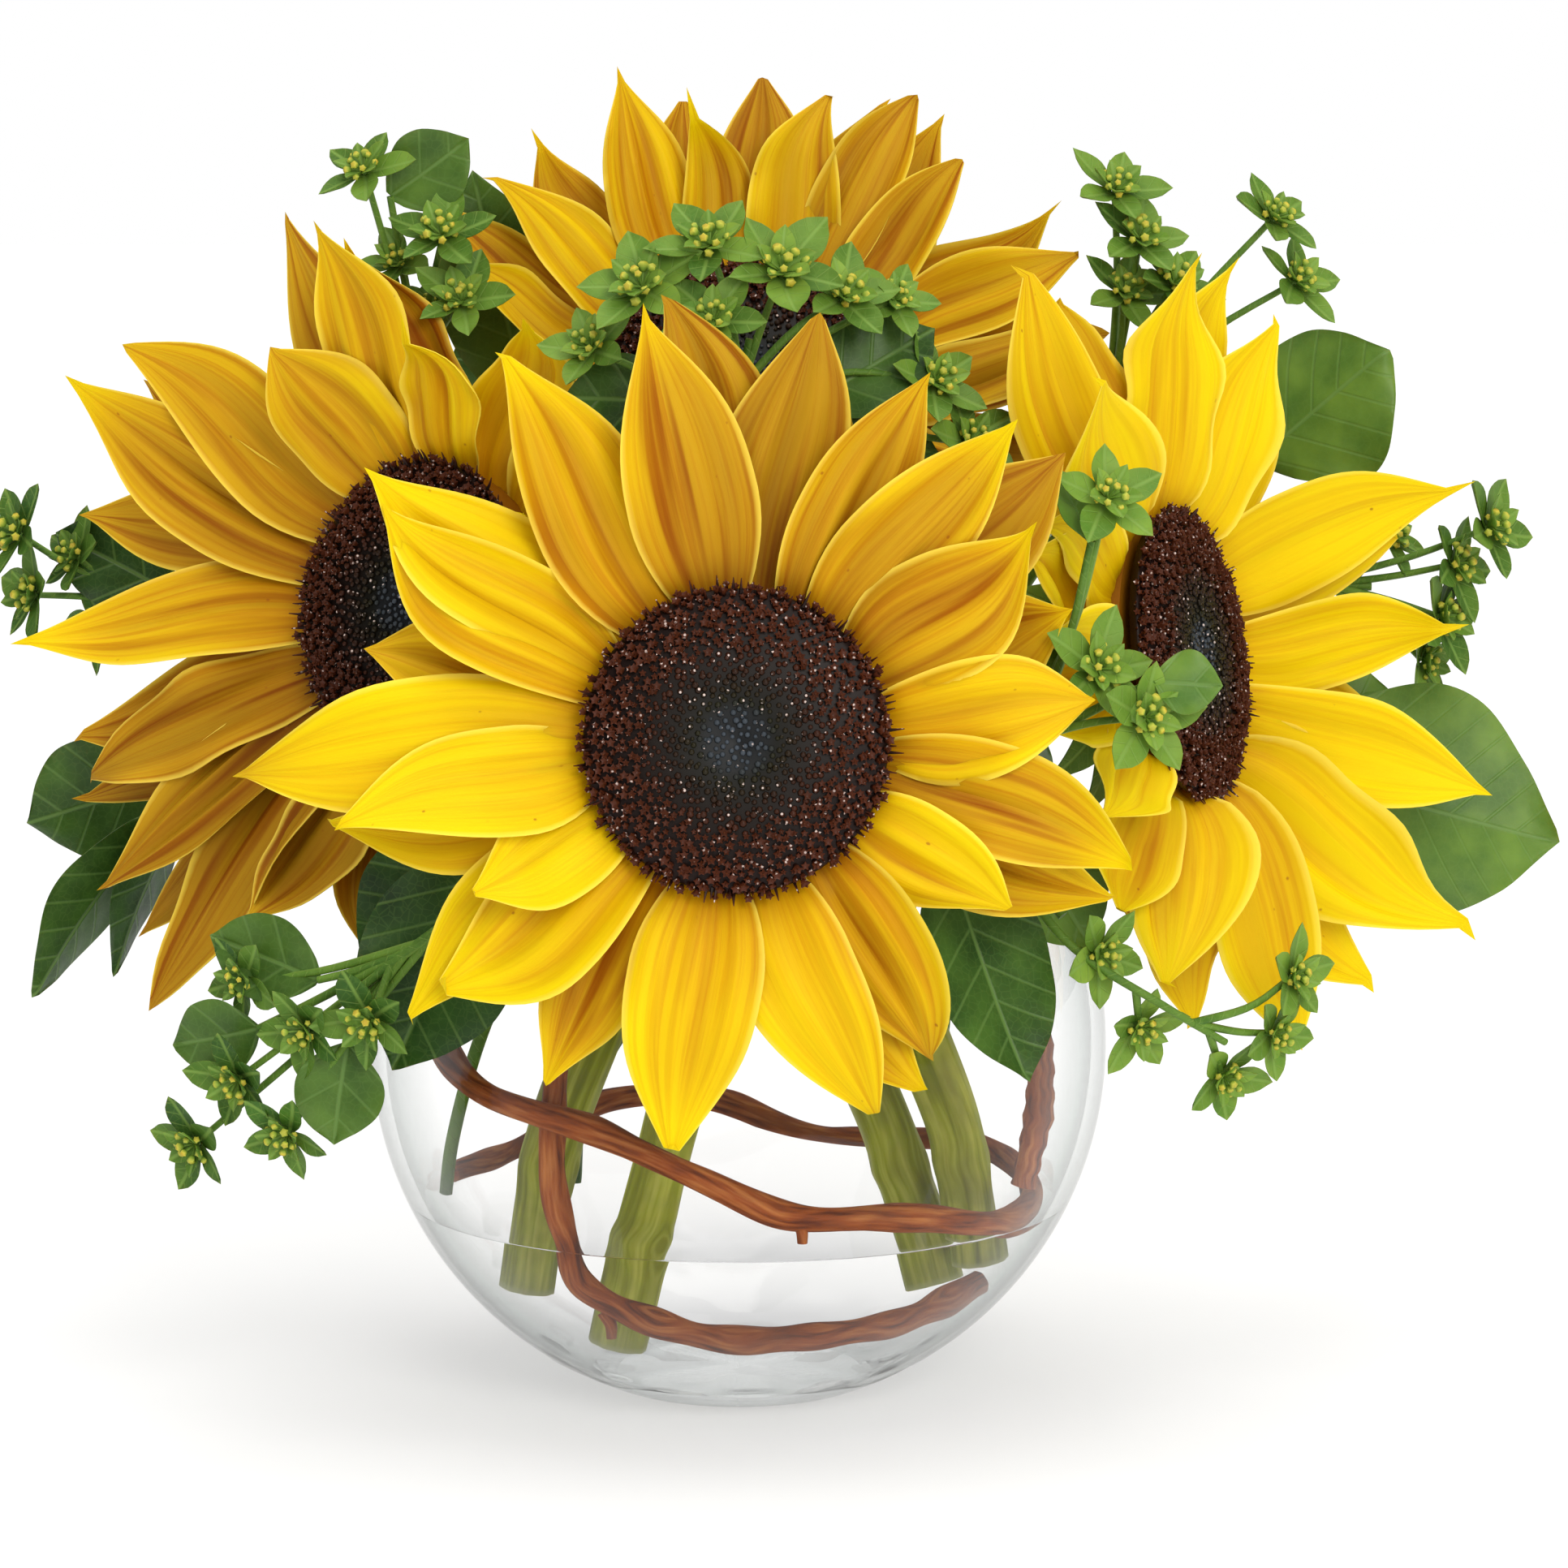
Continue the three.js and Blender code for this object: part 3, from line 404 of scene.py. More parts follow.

# %% [markdown]
# ## Sunflower petals
# A ray petal is a thin, soft blade, broad in its middle and drawn out to a point, with two or three furrows
# from its root to its tip and fine veins between them. One flat shape copied round would look like paper, so
# each petal is grown from its own angle, reach and lift, and leans a little over its neighbour like a tile.
# The four heads face four ways, and the petals near the viewer hide those behind, so all are modelled.

# %% The four heads
# A petal is [angle, reach, lift at its root, lift at its tip]: degrees round the disc and millimetres from
# its middle. The stem goes back from the head and down into the water. tone says how golden a head is, partly
# its own colour and partly painted shade on the heads that turn from the light. The next two numbers say how
# much more golden its petals are painted, as shade, towards one side, and at which angle. lean rolls the
# petals of a head that is seen from its side, and width is a head's own petal width.
FLOWERS = {
    "front": {
        "centre": (0.2, -85, 145), "normal": (0.03, -0.97, 0.17), "seed": 11,
        "tone": 0.61, "side_shade": 0.44, "shaded_side": 46,
        "stem": [(0, -43, 135), (-1, -37, 124), (-2, -31, 105), (-8, -28, 80), (-17, -27, 45),
            (-24, -26, 15)],
        "petals": [
            (81, 81, 14, 14), (90, 85, 8, 6), (99, 82, 22, 10), (122, 83, 22, -6), (145, 84, 16, 2),
            (154, 79, 24, 0), (165, 70, 6, -4), (179, 96, 18, -30), (188, 76, 26, -10), (197, 80, 8, -36),
            (211, 55, 34, -20), (214, 80, 8, -22), (225, 70, 20, -34), (237, 74, 8, -32),
            (260, 77, 26, -38), (283, 76, 26, -36), (291, 75, 6, -26), (304, 71, 20, -38),
            (328, 58, 30, -34), (333, 77, 8, -20), (349, 77, 20, -12), (5, 66, 26, -8),
            (18, 66, 10, 4), (29, 68, 22, 6), (41, 81, 12, 4), (50, 78, 22, 4), (63, 76, 16, 8),
            (73, 72, 6, 8),
        ],
    },
    "left": {
        "centre": (-63, -20, 164), "normal": (-0.62, -0.74, 0.26), "seed": 16,
        "tone": 1.02, "side_shade": 0.7, "shaded_side": 244,
        "stem": [(-34, 16, 139), (-14, 26, 118), (4, 25, 98), (19, 20, 75), (32, 14, 48), (40, 9, 19)],
        "petals": [
            (123, 90, 12, 20), (109, 80, 24, 22), (109, 75, 12, 34), (85, 58, 26, 44), (70, 62, 10, 30),
            (145, 92, 22, 10), (158, 97, 10, 6), (164, 96, 20, 12), (165, 100, 10, 2), (186, 91, 22, 14),
            (202, 90, 10, 8), (212, 88, 24, 0), (215, 100, 12, -4), (226, 92, 20, 6), (231, 101, 10, -6),
            (243, 99, 22, -4), (233, 89, 10, -8), (260, 70, 20, 4), (264, 69, 12, 10),
            (298, 50, 20, 50), (315, 50, 14, 62), (337, 46, 22, 78), (121, 63, 34, 30), (24, 46, 22, 74),
            (47, 52, 14, 52),
        ],
    },
    "right": {
        "centre": (87, -22, 154), "normal": (0.9, -0.4, 0.17), "seed": 21, "lean": 45,
        "tone": 0.0, "side_shade": 0.0, "shaded_side": 0,
        "stem": [(47, 3, 141), (37, 4, 127), (31, 2, 104), (35, 0, 80), (45, -1, 52), (49, 0, 26)],
        "petals": [
            (113, 83, 0, -7), (124, 66, 16, -6), (98, 73, -2, 6), (81, 78, 20, 6), (69, 82, 14, 26),
            (59, 75, 30, 16), (40, 77, 14, 30), (24, 87, 38, 42), (10, 86, 14, 54), (355, 76, 38, 54),
            (340, 82, 14, 54), (329, 88, 38, 42), (316, 86, 14, 38), (302, 90, 36, 22),
            (293, 88, 14, 20), (278, 83, 26, -8), (268, 73, 9, -19), (248, 67, 17, -12),
            (237, 58, 14, -6), (210, 51, 18, -8), (187, 51, 8, -16), (173, 53, 18, -30),
            (156, 55, 14, -8), (142, 56, 18, -16),
        ],
    },
    "top": {
        "centre": (2.6, 10, 206), "normal": (0, -0.75, 0.66), "seed": 26, "width": 19,
        "tone": 1.0, "side_shade": 0.3, "shaded_side": -40,
        "stem": [(-2, 27, 162), (-9, 10, 137), (-17, 0, 110), (-25, -4, 86), (-38, -4, 52), (-43, -4, 21)],
        "petals": [
            (152, 76, 10, 30), (142, 70, 24, 36), (130, 72, 10, 30), (118, 74, 24, 34), (106, 72, 8, 30),
            (98, 62, 24, 40), (89, 76, 12, 26), (79, 68, 26, 38), (73, 74, 8, 26), (64, 74, 20, 32),
            (54, 74, 10, 26), (46, 66, 24, 38), (32, 74, 12, 28), (20, 72, 24, 26), (9, 73, 10, 16),
            (357, 70, 20, 18), (343, 66, 8, 10), (325, 58, 20, 12), (305, 54, 8, 8), (282, 52, 20, 4),
            (250, 52, 8, 6), (219, 50, 8, 18), (199, 52, 20, 30),
            (184, 58, 10, 26), (168, 64, 22, 32),
        ],
    },
}
for name, flower in FLOWERS.items():
    print(name, "has", len(flower["petals"]), "petals")

# %% Where a head stands
def axes_of(normal):
    """The head's own right, up and facing directions, as rows."""
    facing = unit(normal)
    right = unit(np.cross(UP, facing))
    return np.array([right, np.cross(facing, right), facing])


def placed(skins, centre, normal):
    """Skins made on a head's own axes, moved to where the head is."""
    axes = axes_of(normal)
    return [(points @ axes + np.asarray(centre, float), *rest) for points, *rest in skins]


print("front head faces", axes_of(FLOWERS["front"]["normal"])[2].round(2))

# %% Petal outline and folds
PETAL_ROOT = 25
PETAL_WIDTH = 24
PETAL_CHANNEL = 2
PETAL_FULL_REACH = 66
FRONT_LIFT = 15


def petal_half(width, point, belly):
    """Half the width along a petal. belly is where it is widest, and point is how drawn out its tip is."""
    def half(share):
        low = np.clip(share / belly, 0, 1)
        high = np.clip((share - belly) / (1 - belly), 0, 1)
        grown = 0.42 + 0.58 * np.sin(low * np.pi / 2) ** 0.9
        return width / 2 * grown * (1 - high**2.7) * (1 - point * high**3)
    return half


def petal_form(width, seed, i, layer):
    """Heights over a petal: hollow along its middle, with furrows, wavy edges and a tip that curls."""
    hollowed = pick(0.2, 1.5, seed + 54, i)
    furrows = pick(1.8, 3.2, seed + 41, i)
    shift = 6.3 * draw(seed + 42, i)
    waves = pick(1.0, 2.6, seed + 43, i)
    ripple = pick(0.5, 2.5, seed + 44, i)
    bend = pick(-1.8, 1.8, seed + 45, i)
    depth = pick(0.5, 1.4, seed + 56, i)
    crease = pick(0.3, 1.1, seed + 50, i)
    curl = pick(-5, 7, seed + 53, i)

    def form(share, u, half):
        wide = half / (width / 2)
        wave = np.sin(2 * np.pi * waves * share + shift + np.sign(u))
        hollow = -hollowed * PETAL_CHANNEL * wide * (1 - np.abs(u) ** 1.7) * np.clip(share / 0.45, 0.15, 1)
        fold = depth * wide * np.cos(np.pi * furrows * u + shift) * np.sin(np.pi * share) ** 0.5
        edge = ripple * np.abs(u) ** 3 * wave * wide * share**0.5
        pinch = -crease * wide * np.exp(-((u / 0.13) ** 2)) * np.sin(np.pi * share) ** 0.4
        tip = curl * np.clip((share - 0.66) / 0.34, 0, 1) ** 2
        rise = layer * np.sin(np.pi * np.minimum(share, 0.5))
        return rise + hollow + fold + edge + pinch + tip + bend * np.sin(np.pi * share) * u * wide
    return form


def petal_sway(seed, i):
    """A petal wanders a little to one side, and its drawn-out tip hooks to the other."""
    wander = pick(-1.6, 1.6, seed + 51, i)
    hook = pick(-6, 6, seed + 52, i)
    return lambda share: wander * np.sin(2 * np.pi * share) + hook * share**3


def petal_tone_and_shade(flower, angle, i):
    """Painted shade: upper and lower petals, and one side of a head, are made more golden, and each petal
    differs a little.
    """
    # Painted shade on one side of the head, and on its upper and lower petals.
    side_shade = flower["side_shade"] * math.cos(math.radians(angle - flower["shaded_side"]))
    level = -0.24 * math.cos(math.radians(2 * angle))
    return flower["tone"] + side_shade + level + pick(-0.24, 0.24, flower["seed"] + 55, i)


print("two layers of petals, parted at a lift of", FRONT_LIFT, "degrees")

# %% A ring of petals
# Petals with a steep root lie in front and bulge forwards, the others lie behind, and a narrow collar holds
# the roots of both.
PETAL_ROWS, PETAL_COLS = ((22, 15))
COLLAR = [(24, -5.8), (27.8, -5.6), (28.3, -2.4), (27.2, 0.1), (23, 0.2)]


def petal_skins(flower):
    collar = lathe(COLLAR, 48, -5.8, 0.2, tone=1.2)
    collar[2][:, [ALONG, ACROSS]] = 0
    skins = [collar]
    seed = flower["seed"]
    for i, (angle, reach, root_lift, tip_lift) in enumerate(flower["petals"]):
        out = spoke(math.radians(angle))
        depth, bulge = (-2, 1.6) if root_lift > FRONT_LIFT else (-4.8, -1.1)
        width = flower.get("width", PETAL_WIDTH) * pick(0.84, 1.1, seed, i)
        width *= min(1, reach / PETAL_FULL_REACH)
        point = pick(0.3, 0.85, seed + 46, i)
        belly = pick(0.34, 0.5, seed + 47, i)
        skins.append(blade(
            root=out * PETAL_ROOT + (0, 0, depth), out=out, up=UP, length=reach - PETAL_ROOT + 3,
            half=petal_half(width, point, belly), lift=(root_lift, tip_lift),
            rows=PETAL_ROWS, cols=PETAL_COLS, form=petal_form(width, seed, i, bulge),
            turn=pick(-16, 16, seed + 7, i), roll=9 - flower.get("lean", 0) * out[1],
            twist=pick(-26, 26, seed + 48, i), each=draw(seed + 49, i),
            tone=petal_tone_and_shade(flower, angle, i), fold_shade_per_mm=-0.16, sway=petal_sway(seed, i),
        ))
    return placed(skins, flower["centre"], flower["normal"])


print("petal grid:", PETAL_ROWS, "by", PETAL_COLS)

# %% [markdown]
# ## Petal finish
# A petal is living tissue full of yellow pigment: satin, slightly see-through and never one flat yellow. It
# is more orange towards its root, has fine lengthwise veins, 1.3 mm apart where it is widest, broader streaks
# that deepen with its tone, a paler edge painted as a highlight and a few brown specks. The tone is partly
# its age and partly painted shade, so the deeper yellows and streaks are painted shade on the heads and sides
# that turn from the light and in the hollows of each petal. Colour and veins come from the marks that each
# petal carries, so they follow its bends.

# %% Petal
# Root to tip, from the brightest yellow to the deepest, with the tone at which each begins to show. The
# deeper ones stand partly for older petals and partly for painted shade.
BRIGHT_YELLOW = [(0.0, "#c08c00"), (0.22, "#deb802"), (0.5, "#e6c602"), (1.0, "#e8ca04")]
DEEPER_YELLOWS = [
    (0.0, [(0.0, "#ae6e02"), (0.2, "#d09c06"), (0.5, "#dab00a"), (1.0, "#dab40c")]),
    (0.5, [(0.0, "#8e5a0a"), (0.2, "#b0800e"), (0.5, "#c29414"), (1.0, "#c69c18")]),
    (1.1, [(0.0, "#74480a"), (0.2, "#94640c"), (0.5, "#a57a12"), (1.0, "#ae8214")]),
]
petal, tree, shader = new_finish(
    "petal_satin_yellow", Roughness=0.55, IOR=1.4, Specular_IOR_Level=0.12,
    Subsurface_Weight=0.18, Subsurface_Radius=(1.0, 0.6, 0.15), Subsurface_Scale=0.0015,
)
along, across, each, mm_along, mm_across, tone = read_marks(tree)
base = add(tree, "ValToRGB", inputs=(along,), stops=BRIGHT_YELLOW)
# The deeper yellows are laid on by the tone, so they paint shade as well as age.
for begins, stops in DEEPER_YELLOWS:
    deeper = add(tree, "ValToRGB", inputs=(along,), stops=stops)
    share = add(tree, "MapRange", inputs=(tone, begins, begins + 0.55))
    base = layered(tree, base, [(share, deeper)])
drift = add(tree, "Math", TIMES, (each, 40.0))
fan = add(tree, "CombineXYZ", inputs=(across, along, drift))
veins = pattern(tree, "TexNoise", fan, (9.0, 0.9, 1.0), Detail=3.0, Roughness=0.65)
vein_depth = add(tree, "MapRange", inputs=(tone, 0.1, 0.9, 0.24, 0.42))
vein_mask = add(tree, "MapRange", inputs=(veins, 0.34, 0.54, vein_depth, 0.0))
streaks = pattern(tree, "TexNoise", fan, (3.6, 0.7, 1.0), Detail=2.0)
# The streaks deepen with the tone, so on shaded heads and sides they are painted shade too.
streak_and_shade_depth = add(tree, "MapRange", inputs=(tone, 0.2, 1.1, 0.22, 0.74))
streak_and_shade_mask = add(tree, "MapRange", inputs=(streaks, 0.33, 0.47, streak_and_shade_depth, 0.0))
base = layered(tree, base, [(vein_mask, "#d8901c"), (streak_and_shade_mask, "#c07a1c")], "MULTIPLY")
print("shades of yellow:", 1 + len(DEEPER_YELLOWS))

# %% Specks and edge of a petal
# Specks lie in cells of 4.5 by 6 mm, and about a third of the cells have one.
place = add(tree, "CombineXYZ", inputs=(mm_across, mm_along, drift))
speck = pattern(tree, "TexVoronoi", place, (0.22, 0.16, 1.0))
speck_spot = add(tree, "MapRange", inputs=(speck, 0.04, 0.08, 0.75, 0.0))
speck_own = add(tree, "SeparateColor", inputs=(speck.outputs["Color"],))
speck_few = add(tree, "MapRange", inputs=(speck_own, 0.6, 0.7))
speck_mask = add(tree, "Math", TIMES, (speck_spot, speck_few))
# Painted highlight: a pale yellow along the thin edge of each petal.
rim = add(tree, "Math", {"operation": "ABSOLUTE"}, (across,))
edge_highlight_mask = add(tree, "MapRange", inputs=(rim, 0.89, 0.98, 0.0, 0.55))
base = layered(tree, base, [(speck_mask, "#9a5a12"), (edge_highlight_mask, "#ffe258")])
ridges = add(tree, "Bump", inputs={"Strength": 0.55, "Distance": 0.0003, "Height": veins})
feed(shader, {"Base Color": base, "Normal": ridges})
print("finish:", petal.name)

# %% Make the petals
for name, flower in FLOWERS.items():
    make_piece(f"ray_petals_{name}", petal_skins(flower), [f"petals_{name}"], [petal])

# %% [markdown]
# ## The dark discs
# The middle of a sunflower is more than a thousand small florets, set along spirals that each turn by the
# golden angle. Those at the rim are open, with five lobes and a pale style, those in the middle are still
# buds, and a fringe of short dark spikes leans out over the roots of the petals. A bumpy texture would lie
# flat when seen from the side, so each floret is a small mesh of its own.

# %% Florets to copy round
DISC_RADIUS = 29.5
DISC_HEIGHT = 8
FLORET_REACH = 28.8
FLORET_DEPTH = 0.8
GOLDEN_ANGLE = 137.508
FLORET_COUNT = 1250
SPIKE_COUNT = 150
BUD = floret_template([(0.45, 0, 0), (0.74, 0.55, 0), (0.55, 0.95, 0)], 6, 1.15)
OPEN = floret_template([(0.4, 0, 0), (0.5, 0.8, 0), (0.95, 1.5, 0.45), (0.45, 1.3, 0)], 10, 1.1)
STYLE = floret_template([(0.14, 0.6, 0), (0.12, 1.7, 0), (0.2, 2.0, 0)], 4, 2.25)


def dome(r):
    share = r / DISC_RADIUS
    return DISC_HEIGHT - 3 * share**3 - 1.2 * (1 - share) ** 4


def floret_skins(seed, i):
    """Floret i of the spiral, with a style on every second open one, told by a 1 in its marks."""
    share = math.sqrt((i + 0.5) / FLORET_COUNT)
    r = FLORET_REACH * share * (1 + 0.03 * (draw(seed + 3, i) - 0.5))
    outward = spoke(math.radians(GOLDEN_ANGLE * i + 2.4 * (draw(seed + 6, i) - 0.5) / max(share, 0.2)))
    tilt = math.radians(6 * share + 52 * share**9 + 34 * (draw(seed + 1, i) - 0.5))
    size = (0.72 + 0.28 * share) * pick(0.72, 1.25, seed + 4, i)
    base = outward * r + (0, 0, dome(r) - FLORET_DEPTH)
    axes = axes_on(tipped(outward, tilt))
    is_open = share > 0.6 + 0.08 * (draw(seed + 2, i) - 0.5)
    kinds = [OPEN if is_open else BUD] + ([STYLE] if is_open and i % 2 else [])
    notes = {ALONG: share, EACH: draw(seed + 5, i)}
    return [copied(kind, size, axes, base, {**notes, MM_ALONG: float(kind is STYLE)}) for kind in kinds]


def spike_skin(seed, i):
    a = 2 * np.pi * (i + 0.8 * draw(seed + 8, i)) / SPIKE_COUNT
    outward = spoke(a)
    way = tipped(outward, math.radians(pick(38, 82, seed + 9, i)))
    height = pick(3.4, 5.4, seed + 12, i)
    base = outward * pick(26.6, 28.6, seed + 10, i) + (0, 0, height)
    length = pick(1.6, 3.8, seed + 13, i)
    line = [base, base + way * length * 0.6, base + way * length + (0, 0, 0.3)]
    spike = rod(smooth(line, 4), tapered(0.42, 0.1), 5, 4, each=draw(seed + 14, i))
    marks = spike[2]
    marks[:, ACROSS] = marks[:, ALONG]
    marks[:, ALONG] = 1.0
    marks[:, MM_ALONG] = 0.0
    return spike


def disc_skins(seed):
    rows = [(22, 0.3), (28.2, 2.6), (28.9, 4.2)]
    rows += [(r, dome(r) - 0.5) for r in np.linspace(28.6, 1.0, 20)]
    seat = lathe(rows, 64, 0.3, dome(0) - 0.5, reach=DISC_RADIUS)
    seat[2][:, [ACROSS, MM_ALONG]] = 0
    florets = [one for i in range(FLORET_COUNT) for one in floret_skins(seed, i)]
    return [seat, *florets, *(spike_skin(seed, i) for i in range(SPIKE_COUNT))]


print("florets on a disc:", FLORET_COUNT)

# %% [markdown]
# ## Disc finish
# Disc florets are dark brown and slightly glossy, with red-brown lobes and pale pollen-dusted styles near the
# rim. Between them and the bluish grey buds in the very middle lies a dark ring with a green cast. The marks
# say how far out a floret stands and how high a point is on it, so two ramps and a mix give all of that, and
# the low part of each floret, down between its neighbours, is painted near black as shade.
# Pale grains sit on the higher parts, in cells 0.9 mm wide: partly pollen and partly painted glints of
# light on the floret tips.

# %% Disc
disc, tree, shader = new_finish("disc_florets_dark_brown", Roughness=0.45, IOR=1.45, Specular_IOR_Level=0.22)
outward, height, _, is_style, _, _ = read_marks(tree)
# Painted shade: the low parts of the florets, down between them, are much darker.
shaded_depths = add(tree, "ValToRGB", inputs=(outward,), stops=[
    (0.0, "#15171a"), (0.19, "#17191b"), (0.26, "#100f07"), (0.45, "#150c06"), (1.0, "#1d0a05")])
tips = add(tree, "ValToRGB", inputs=(outward,), stops=[
    (0.0, "#4a525c"), (0.19, "#3a4148"), (0.26, "#25230f"), (0.42, "#2c190c"), (0.6, "#45200f"),
    (1.0, "#4f2412")])
raised = add(tree, "MapRange", inputs=(height, 0.35, 1.0))
place = add(tree, "TexCoord")
# Pale grains on the floret tops, partly pollen and partly painted glints.
grains = add(tree, "TexVoronoi", inputs={"Vector": place.outputs["Object"], "Scale": 1100.0})
grain = add(tree, "MapRange", inputs=(grains, 0.2, 0.34, 1.0, 0.0))
grain_own = add(tree, "SeparateColor", inputs=(grains.outputs["Color"],))
grain_few = add(tree, "MapRange", inputs=(grain_own, 0.62, 0.8, 0.0, 0.85))
peak = add(tree, "MapRange", inputs=(height, 0.45, 0.8))
grains_on_peaks = add(tree, "Math", TIMES, (grain, peak))
pollen_and_glints = add(tree, "Math", TIMES, (grain_few, grains_on_peaks))
styles = add(tree, "Math", TIMES, (is_style, raised))
base = layered(tree, shaded_depths, [(raised, tips), (pollen_and_glints, "#dcc8bf"), (styles, "#5f3018")])
feed(shader, {"Base Color": base})
print("finish:", disc.name)

# %% Make the discs
for name, flower in FLOWERS.items():
    skins = placed(disc_skins(flower["seed"]), flower["centre"], flower["normal"])
    make_piece(f"seed_disc_{name}", skins, [f"disc_{name}"], [disc])

# %% [markdown]
# ## Flower backs and stems
# Behind the petals sits a green cup with rows of pointed bracts and smaller ones pressed flat to its back.
# The thick stem leaves it straight back before it bends down into the bowl. The cup is turned on a lathe, the
# bracts are blades and the stem is a rod with shallow ribs. They are grown as closed skins and joined into
# one piece, as the solid is.

# %% Cup, bracts and ribbed stem
STEM_RADIUS = 5.8
CUP_DEPTH = 19
CUP_ROWS = [(3, -CUP_DEPTH), (7.3, -18.8), (10, -17.6), (16, -14.2), (22, -11.9), (25.7, -10.3), (26.5, -9),
            (26.4, -7.2), (25.8, -6.9), (21.8, -6.9), (21.7, -0.5), (21.3, -0.3), (8, -0.3)]
BRACT_COUNT = 8
BACK_BRACTS = 11


def pointed(width):
    """Half widths of a bract: full at its foot, bulging a little, and long drawn out to its point."""
    return lambda share: width / 2 * profile([[0, 0.85], [0.2, 1], [0.45, 0.84], [0.75, 0.36], [1, 0]], share)


def folded(depth, ripple=0.2):
    """Heights across a plain leaf or bract that is folded along its middle."""
    def form(share, u, half):
        fold = -depth * np.sin(np.pi * np.clip(0.12 + 0.88 * share, 0, 1)) ** 0.4 * (1 - np.abs(u) ** 1.4)
        return fold + ripple * np.sin(9 * share) * u
    return form


def rim_bract(seed, i, extra):
    """One of the long bracts behind the petals. The lowest are shorter, and extra ones stand between."""
    out = spoke(2 * math.pi * (i + 0.5 * draw(seed, i)) / BRACT_COUNT + extra * math.pi / BRACT_COUNT)
    low = i % 2
    pressed = 0.62 if out[1] < -0.6 else 1
    return blade(
        root=out * (22 - 4 * low - 2 * extra) + (0, 0, -8.6 - 2.8 * low - 1.2 * extra), out=out, up=UP,
        length=25 * pressed * pick(0.8, 1.1, seed + 3, i) * (1 - 0.28 * extra),
        half=pointed(13 - 3 * extra), lift=(-4 - 8 * extra, -38), rows=12, cols=9, form=folded(0.8),
        thickness=0.9, each=draw(seed + 8, i + 8 * extra),
        tone=pick(0.1, 0.6, seed + 15, i + 8 * extra), finish=1,
    )


def back_bract(seed, i):
    """One of two rings of small bracts that lie on the back of the cup."""
    turn, r, z = (0.3, 8.5, -18.6) if i < BACK_BRACTS else (0, 14.5, -16)
    out = spoke(2 * math.pi * (i + 0.4 * draw(seed + 16, i)) / BACK_BRACTS + turn)
    return blade(
        root=out * r + (0, 0, z), out=out, up=UP, length=pick(9, 13, seed + 17, i),
        half=pointed(8.5), lift=(22, 4), rows=9, cols=7, form=folded(0.5), thickness=0.7,
        each=draw(seed + 18, i), tone=pick(0.1, 0.5, seed + 19, i), finish=1,
    )


def cup_skins(seed):
    cup = lathe(CUP_ROWS, 48, -CUP_DEPTH, -0.3, tone=0.3, reach=60)
    rim = [rim_bract(seed, i, extra) for i in range(BRACT_COUNT) for extra in (0, 1)]
    return [cup, *rim, *(back_bract(seed, i) for i in range(2 * BACK_BRACTS))]


def stem_line(flower):
    back = -unit(flower["normal"])
    centre = np.asarray(flower["centre"], float)
    return smooth([centre + back * (CUP_DEPTH - 4), centre + back * (CUP_DEPTH + 12), *flower["stem"]])


def ribbed(seed):
    def radius(share, angle, along):
        swell = 1 + 0.04 * np.sin(share * 17 + seed) + 0.08 * np.exp(-((share - 0.87) / 0.02) ** 2)
        ribs = 1 + 0.022 * np.cos(9 * angle + 1.2 * np.sin(4 * share)) + 0.012 * np.cos(23 * angle)
        return STEM_RADIUS * swell * ribs
    return radius


print("bracts on a cup:", 2 * BRACT_COUNT + 2 * BACK_BRACTS)

# %% [markdown]
# ## Stem and leaf finishes
# Stems are fresh olive green with a waxy bloom, streaked lengthwise, and pale where they are cut. Leaves are
# darker and glossier, and their veins run from a midrib to the edge every 7.5 mm, and every 3 mm on a bract.
# Both colours follow the marks, so the streaks run along each stem and the veins start on each midrib.

# %% Stem
stem_green, tree, shader = new_finish("stem_fresh_green", Roughness=0.5, IOR=1.42, Specular_IOR_Level=0.25,
                                      Subsurface_Weight=0.1, Subsurface_Scale=0.002)
along, _, each, mm_along, mm_across, _ = read_marks(tree)
place = add(tree, "CombineXYZ", inputs=(mm_across, mm_along, each))
streaks = pattern(tree, "TexNoise", place, (0.55, 0.03, 7.0), Detail=3.0)
patches = pattern(tree, "TexNoise", place, (0.12, 0.06, 3.0), Detail=4.0)
green = add(tree, "ValToRGB", inputs=(streaks,),
            stops=[(0.3, "#7a821a"), (0.48, "#a2a82e"), (0.66, "#c6c856")])
moss = add(tree, "MapRange", inputs=(patches, 0.45, 0.7, 0.0, 0.6))
cut_end = add(tree, "MapRange", inputs=(along, 0.992, 1.0))
grain = add(tree, "Bump", inputs={"Strength": 0.4, "Distance": 0.0004, "Height": streaks})
base = layered(tree, green, [(moss, "#6a6a2c"), (cut_end, "#b9bf7c")])
feed(shader, {"Base Color": base, "Normal": grain})
print("finish:", stem_green.name)

# %% Leaf
LEAF_VEIN_SPACING = 7.5
BRACT_VEIN_SPACING = 3.0
SIDE_VEIN_SLOPE = 0.75


